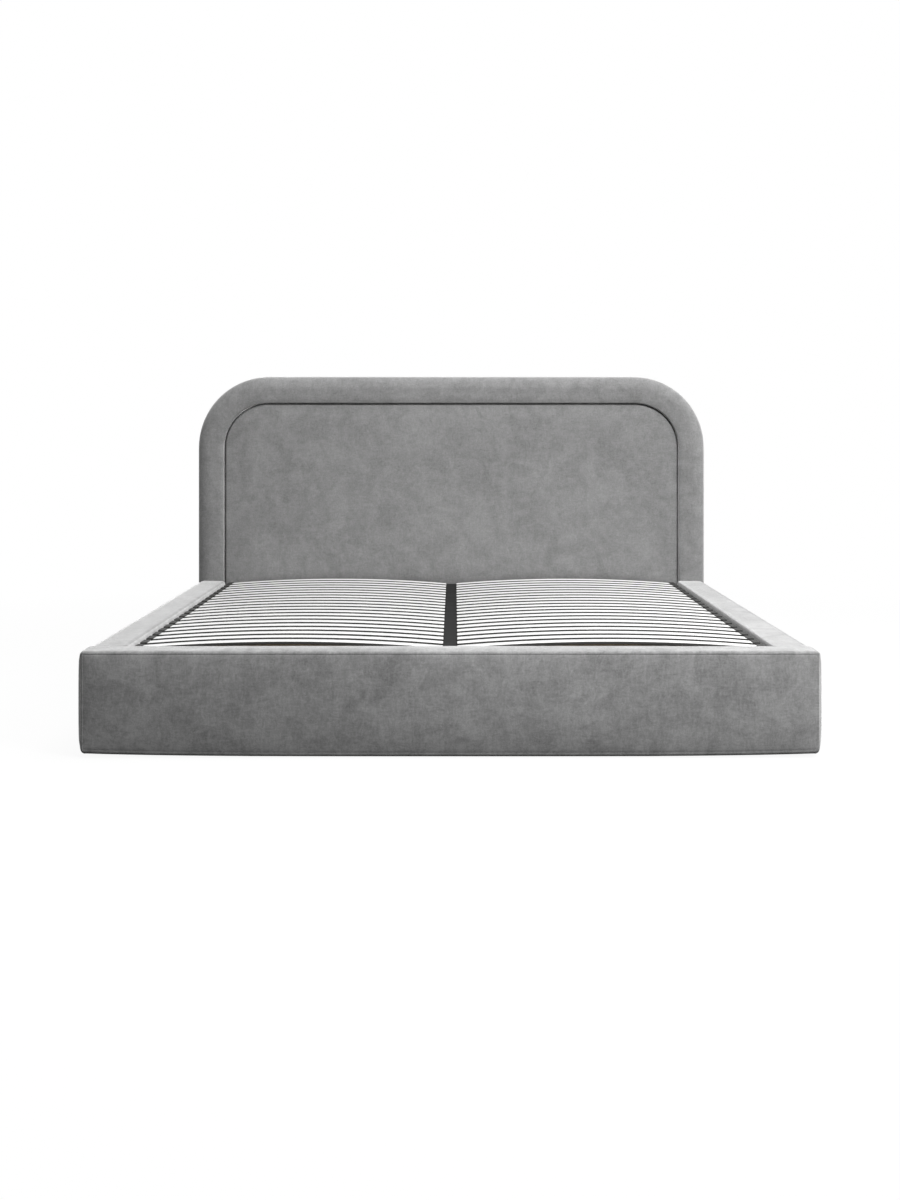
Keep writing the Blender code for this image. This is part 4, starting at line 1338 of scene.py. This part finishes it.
def eased_copy(node, name, width):
    """A copy of a frame's piece, merged into clean faces, with its edges eased."""
    piece = bpy.data.objects.new(name, bpy.data.objects[node].data.copy())
    piece.data.name = name
    scene.collection.objects.link(piece)
    edit(piece)
    bpy.ops.mesh.select_all(action='SELECT')
    bpy.ops.mesh.remove_doubles(threshold=WELD)
    bpy.ops.mesh.dissolve_limited(angle_limit=math.radians(FLAT_ANGLE))
    start_clean()
    bevel_edges(piece, width, segments=2, angle=EASED_ANGLE)
    smooth(piece, angle=EASED_SMOOTH)
    return piece


EASED = [
    ("slat_frame", "welded_slat_frame", "slat_lift", STEEL, "steel", 0.0013),
    ("footboard_board", "footboard_panel", "bed_base", CHIPBOARD, "board", 0.0008),
    ("foot_cleat", "foot_batten", "bed_base", PINE, "batten", 0.0015),
    ("storage_floor", "storage_floor_sheet", "bed_base", HARDBOARD, "floor_panel", 0.0006),
    ("headboard_board", "headboard_panel", "bed_base", CHIPBOARD, "board", 0.0008),
]
for side, sign in SIDES:
    EASED += [
        (f"side_rail_board_{side}", f"side_rail_panel_{side}", "bed_base", CHIPBOARD, "board", 0.0008),
        (f"lift_bracket_{side}", f"hinge_bracket_{side}", "bed_base", STEEL, "steel", 0.0007),
        (f"gas_cylinder_{side}", f"strut_cylinder_{side}", f"{side}_cylinder", ENAMEL, "strut_enamel",
         0.0005),
        (f"gas_rod_{side}", f"strut_rod_{side}", f"{side}_rod", BRIGHT, "bright_rod", 0.0004),
    ]
for node, name, body, material, slot, width in EASED:
    piece = eased_copy(node, name, width)
    dress(piece, body, material, slot, node)
    print(name, len(piece.data.polygons), "faces")

# %% [markdown]
# ## Screws and washers
#
# Small fasteners show when the frame is lifted. A screw head is a short cylinder whose face is inset and
# raised, and then inset once more and pushed in for the driver. Washers hold the struts' eyes on their
# studs; a washer is a short cylinder too, with its two faces inset and bridged to leave the hole.

# %% Fasteners
CROWN_INSET_SHARE, CROWN_RISE_SHARE, SOCKET_INSET_SHARE = 0.45, 0.25, 0.18
SCREW_SIDES, WASHER_SIDES = 20, 28
ALONG_X = (0, QUARTER_TURN, 0)


def new_disc(name, sides, radius, thickness):
    """A short primitive cylinder round the X axis, with its seat at X = 0."""
    start_clean()
    bpy.ops.mesh.primitive_cylinder_add(vertices=sides, radius=radius, depth=thickness,
                                        location=(thickness / 2, 0, 0), rotation=ALONG_X)
    disc = bpy.context.object
    disc.name = name
    bpy.ops.object.transform_apply(location=True, rotation=True, scale=True)
    return disc


def screw_head(name, radius, height, socket):
    """A pan head that looks along +X, with a socket for the driver."""
    head = new_disc(name, SCREW_SIDES, radius, height)
    edit(head)
    pick('FACE', faces_towards(0, 1))
    bpy.ops.mesh.inset(thickness=radius * CROWN_INSET_SHARE)
    bpy.ops.transform.translate(value=(height * CROWN_RISE_SHARE, 0, 0))
    bpy.ops.mesh.inset(thickness=radius * SOCKET_INSET_SHARE)
    bpy.ops.mesh.extrude_region_move(TRANSFORM_OT_translate={"value": (-socket, 0, 0)})
    start_clean()
    return head


def washer(name, inner, outer, thickness):
    """A flat ring round the X axis."""
    ring = new_disc(name, WASHER_SIDES, outer, thickness)
    edit(ring)
    pick('FACE', lambda face: abs(face.normal.x) > TOWARDS_AXIS)
    bpy.ops.mesh.inset(thickness=outer - inner)
    bpy.ops.mesh.bridge_edge_loops()
    start_clean()
    return ring


def set_down(model, name, place, way):
    """A copy of a fastener at its place, looking along +X (1) or -X (-1)."""
    twin = copy_piece(model, name, place)
    if way < 0:
        turn_round(twin, place)
    return twin


# %% Bracket screws and strut washers
SCREW_RADIUS, SCREW_HEIGHT, SCREW_SOCKET = 0.0042, 0.0016, 0.0009
BRACKET_THICKNESS = 0.006
SCREW_ASIDE, SCREW_LEVELS = 0.027, (0.130, 0.195)
STRUT_INSET = 0.0137
EYE_HALF = 0.004
STRUT_REACH, EAR_DROP = 0.450, 0.035
STUD_RADIUS = 0.004
WASHER_GAP, WASHER_THICKNESS = 0.0005, 0.0012
SMALL_WASHER, WIDE_WASHER = 0.008, 0.0115

joint_place = {joint["name"]: Vector(joint["pos_m"]) for joint in frame["joints"] if "pos_m" in joint}
hinge = joint_place["frame_lift"]
plate_face = RAIL_BOARD_LOW.x - SEAT_GAP - BRACKET_THICKNESS
strut_x = plate_face - STRUT_INSET
ear_place = hinge - Vector((0, STRUT_REACH, EAR_DROP))

screw_places = [(aside, level) for level in SCREW_LEVELS for aside in (-SCREW_ASIDE, SCREW_ASIDE)]
screw = screw_head("screw", SCREW_RADIUS, SCREW_HEIGHT, SCREW_SOCKET)
small_washer = washer("small_washer", STUD_RADIUS + SEAT_GAP, SMALL_WASHER, WASHER_THICKNESS)
wide_washer = washer("wide_washer", STUD_RADIUS + SEAT_GAP, WIDE_WASHER, WASHER_THICKNESS)
for side, sign in SIDES:
    heads = [set_down(screw, f"screw_{number}", (sign * plate_face, hinge.y + aside, level), -sign)
             for number, (aside, level) in enumerate(screw_places)]
    screws = join(f"bracket_screws_{side}", heads)
    low_place = joint_place[f"{side}_strut_swing"].copy()
    low_place.x = sign * (strut_x - EYE_HALF - WASHER_GAP)
    low_washer = set_down(small_washer, f"low_stud_washer_{side}", low_place, -sign)
    ear_place.x = sign * (strut_x + EYE_HALF + WASHER_GAP)
    ear_washer = set_down(wide_washer, f"ear_stud_washer_{side}", ear_place, sign)
    for fastener, body in ((screws, "bed_base"), (low_washer, "bed_base"), (ear_washer, "slat_lift")):
        smooth(fastener, angle=35)
        dress(fastener, body, ZINC, "bright_rod")
delete(screw, small_washer, wide_washer)
print("struts at x", round(strut_x, 4), "m")

# %% [markdown]
# ## Back of the headboard
#
# The back is closed with a thin dark felt-like cloth, cut to the arch and stapled over the turned-in
# edge of the velvet. It is a flat plate with its upper corners rounded, thin enough to be a sheet. The
# staples are short wire bars with eased rims, set at an even pace along its edge.

# %% Back cloth
BACK_CLOTH_INSET = 0.010
BACK_CLOTH_FOOT = 0.020
BACK_CLOTH_THICKNESS = 0.0006
BACK_CLOTH_GREY = (0.028, 0.028, 0.030)

cloth_half = BORDER_HIGH.x - BACK_CLOTH_INSET
cloth_top = BORDER_HIGH.z - BACK_CLOTH_INSET
cloth_y = BORDER_HIGH.y + SEAT_GAP
back_cloth = new_box("headboard_back_cloth", (-cloth_half, cloth_y, BACK_CLOTH_FOOT),
                     (cloth_half, cloth_y + BACK_CLOTH_THICKNESS, cloth_top))
edit(back_cloth)
for half in (-cloth_half, cloth_half):
    roll_edges(along_at(1, x=half, z=cloth_top), ARCH_RADIUS - BACK_CLOTH_INSET, segments=2 * ARC_STEPS)
start_clean()
smooth(back_cloth)


def spun_cloth():
    """Dark cloth of pressed fibres that lie in small patches, each with its own shade."""
    material, tree, shader = new_material("spun_back_cloth", 0.9)
    shader.inputs["Specular IOR Level"].default_value = 0.2
    flakes = place_group(tree, PRESSED_FLAKES, Scale=420.0, Strength=0.5)
    tree.links.new(object_place(tree), flakes.inputs["Vector"])
    tree.links.new(tint(tree, BACK_CLOTH_GREY, flakes.outputs["Shade"]), shader.inputs["Base Color"])
    add_bump(tree, shader, flakes.outputs["Height"], 0.0002)
    return material


dress(back_cloth, "bed_base", spun_cloth(), "upholstery")

# %% Staples
STAPLE_WIDTH, STAPLE_WIRE = 0.011, 0.0009
ROUND_SHARE = 0.3
STAPLE_PACE = 0.060
STAPLE_MARGIN = 0.008


def staple(name, place, turn):
    """A flat wire bar on the back cloth, turned to follow the edge."""
    piece = new_box(name, (-STAPLE_WIDTH / 2, 0, -STAPLE_WIRE / 2),
                    (STAPLE_WIDTH / 2, STAPLE_WIRE, STAPLE_WIRE / 2))
    edit(piece)
    roll_edges(lies_at(1, STAPLE_WIRE), STAPLE_WIRE * ROUND_SHARE, segments=1)
    bpy.ops.mesh.select_all(action='SELECT')
    bpy.ops.transform.rotate(value=turn, orient_axis='Y', center_override=(0, 0, 0))
    bpy.ops.transform.translate(value=place)
    start_clean()
    return piece


def arch_walk(half, foot, top, radius, pace):
    """Places and turns at an even pace along an arch, from its left foot to its right."""
    rise, quarter, span = top - radius - foot, math.pi / 2 * radius, 2 * (half - radius)
    total = 2 * rise + 2 * quarter + span
    count = round(total / pace)
    for number in range(count + 1):
        way = total * number / count
        mirrored = way > total / 2
        way = min(way, total - way)
        if way < rise:
            x, z, turn = -half, foot + way, math.pi / 2
        elif way < rise + quarter:
            angle = (way - rise) / radius
            x, turn = -half + radius * (1 - math.cos(angle)), math.pi / 2 - angle
            z = top - radius + radius * math.sin(angle)
        else:
            x, z, turn = way - rise - quarter - span / 2, top, 0
        yield (-x, z, -turn) if mirrored else (x, z, turn)


staple_y = cloth_y + BACK_CLOTH_THICKNESS + SEAT_GAP / 3
walk = arch_walk(cloth_half - STAPLE_MARGIN, BACK_CLOTH_FOOT + STAPLE_MARGIN, cloth_top - STAPLE_MARGIN,
                 ARCH_RADIUS - BACK_CLOTH_INSET - STAPLE_MARGIN, STAPLE_PACE)
bars = [staple(f"staple_{number}", (x, staple_y, z), turn) for number, (x, z, turn) in enumerate(walk)]
staples = join("back_cloth_staples", bars)
dress(staples, "bed_base", ZINC, "bright_rod")
print(len(bars), "staples")
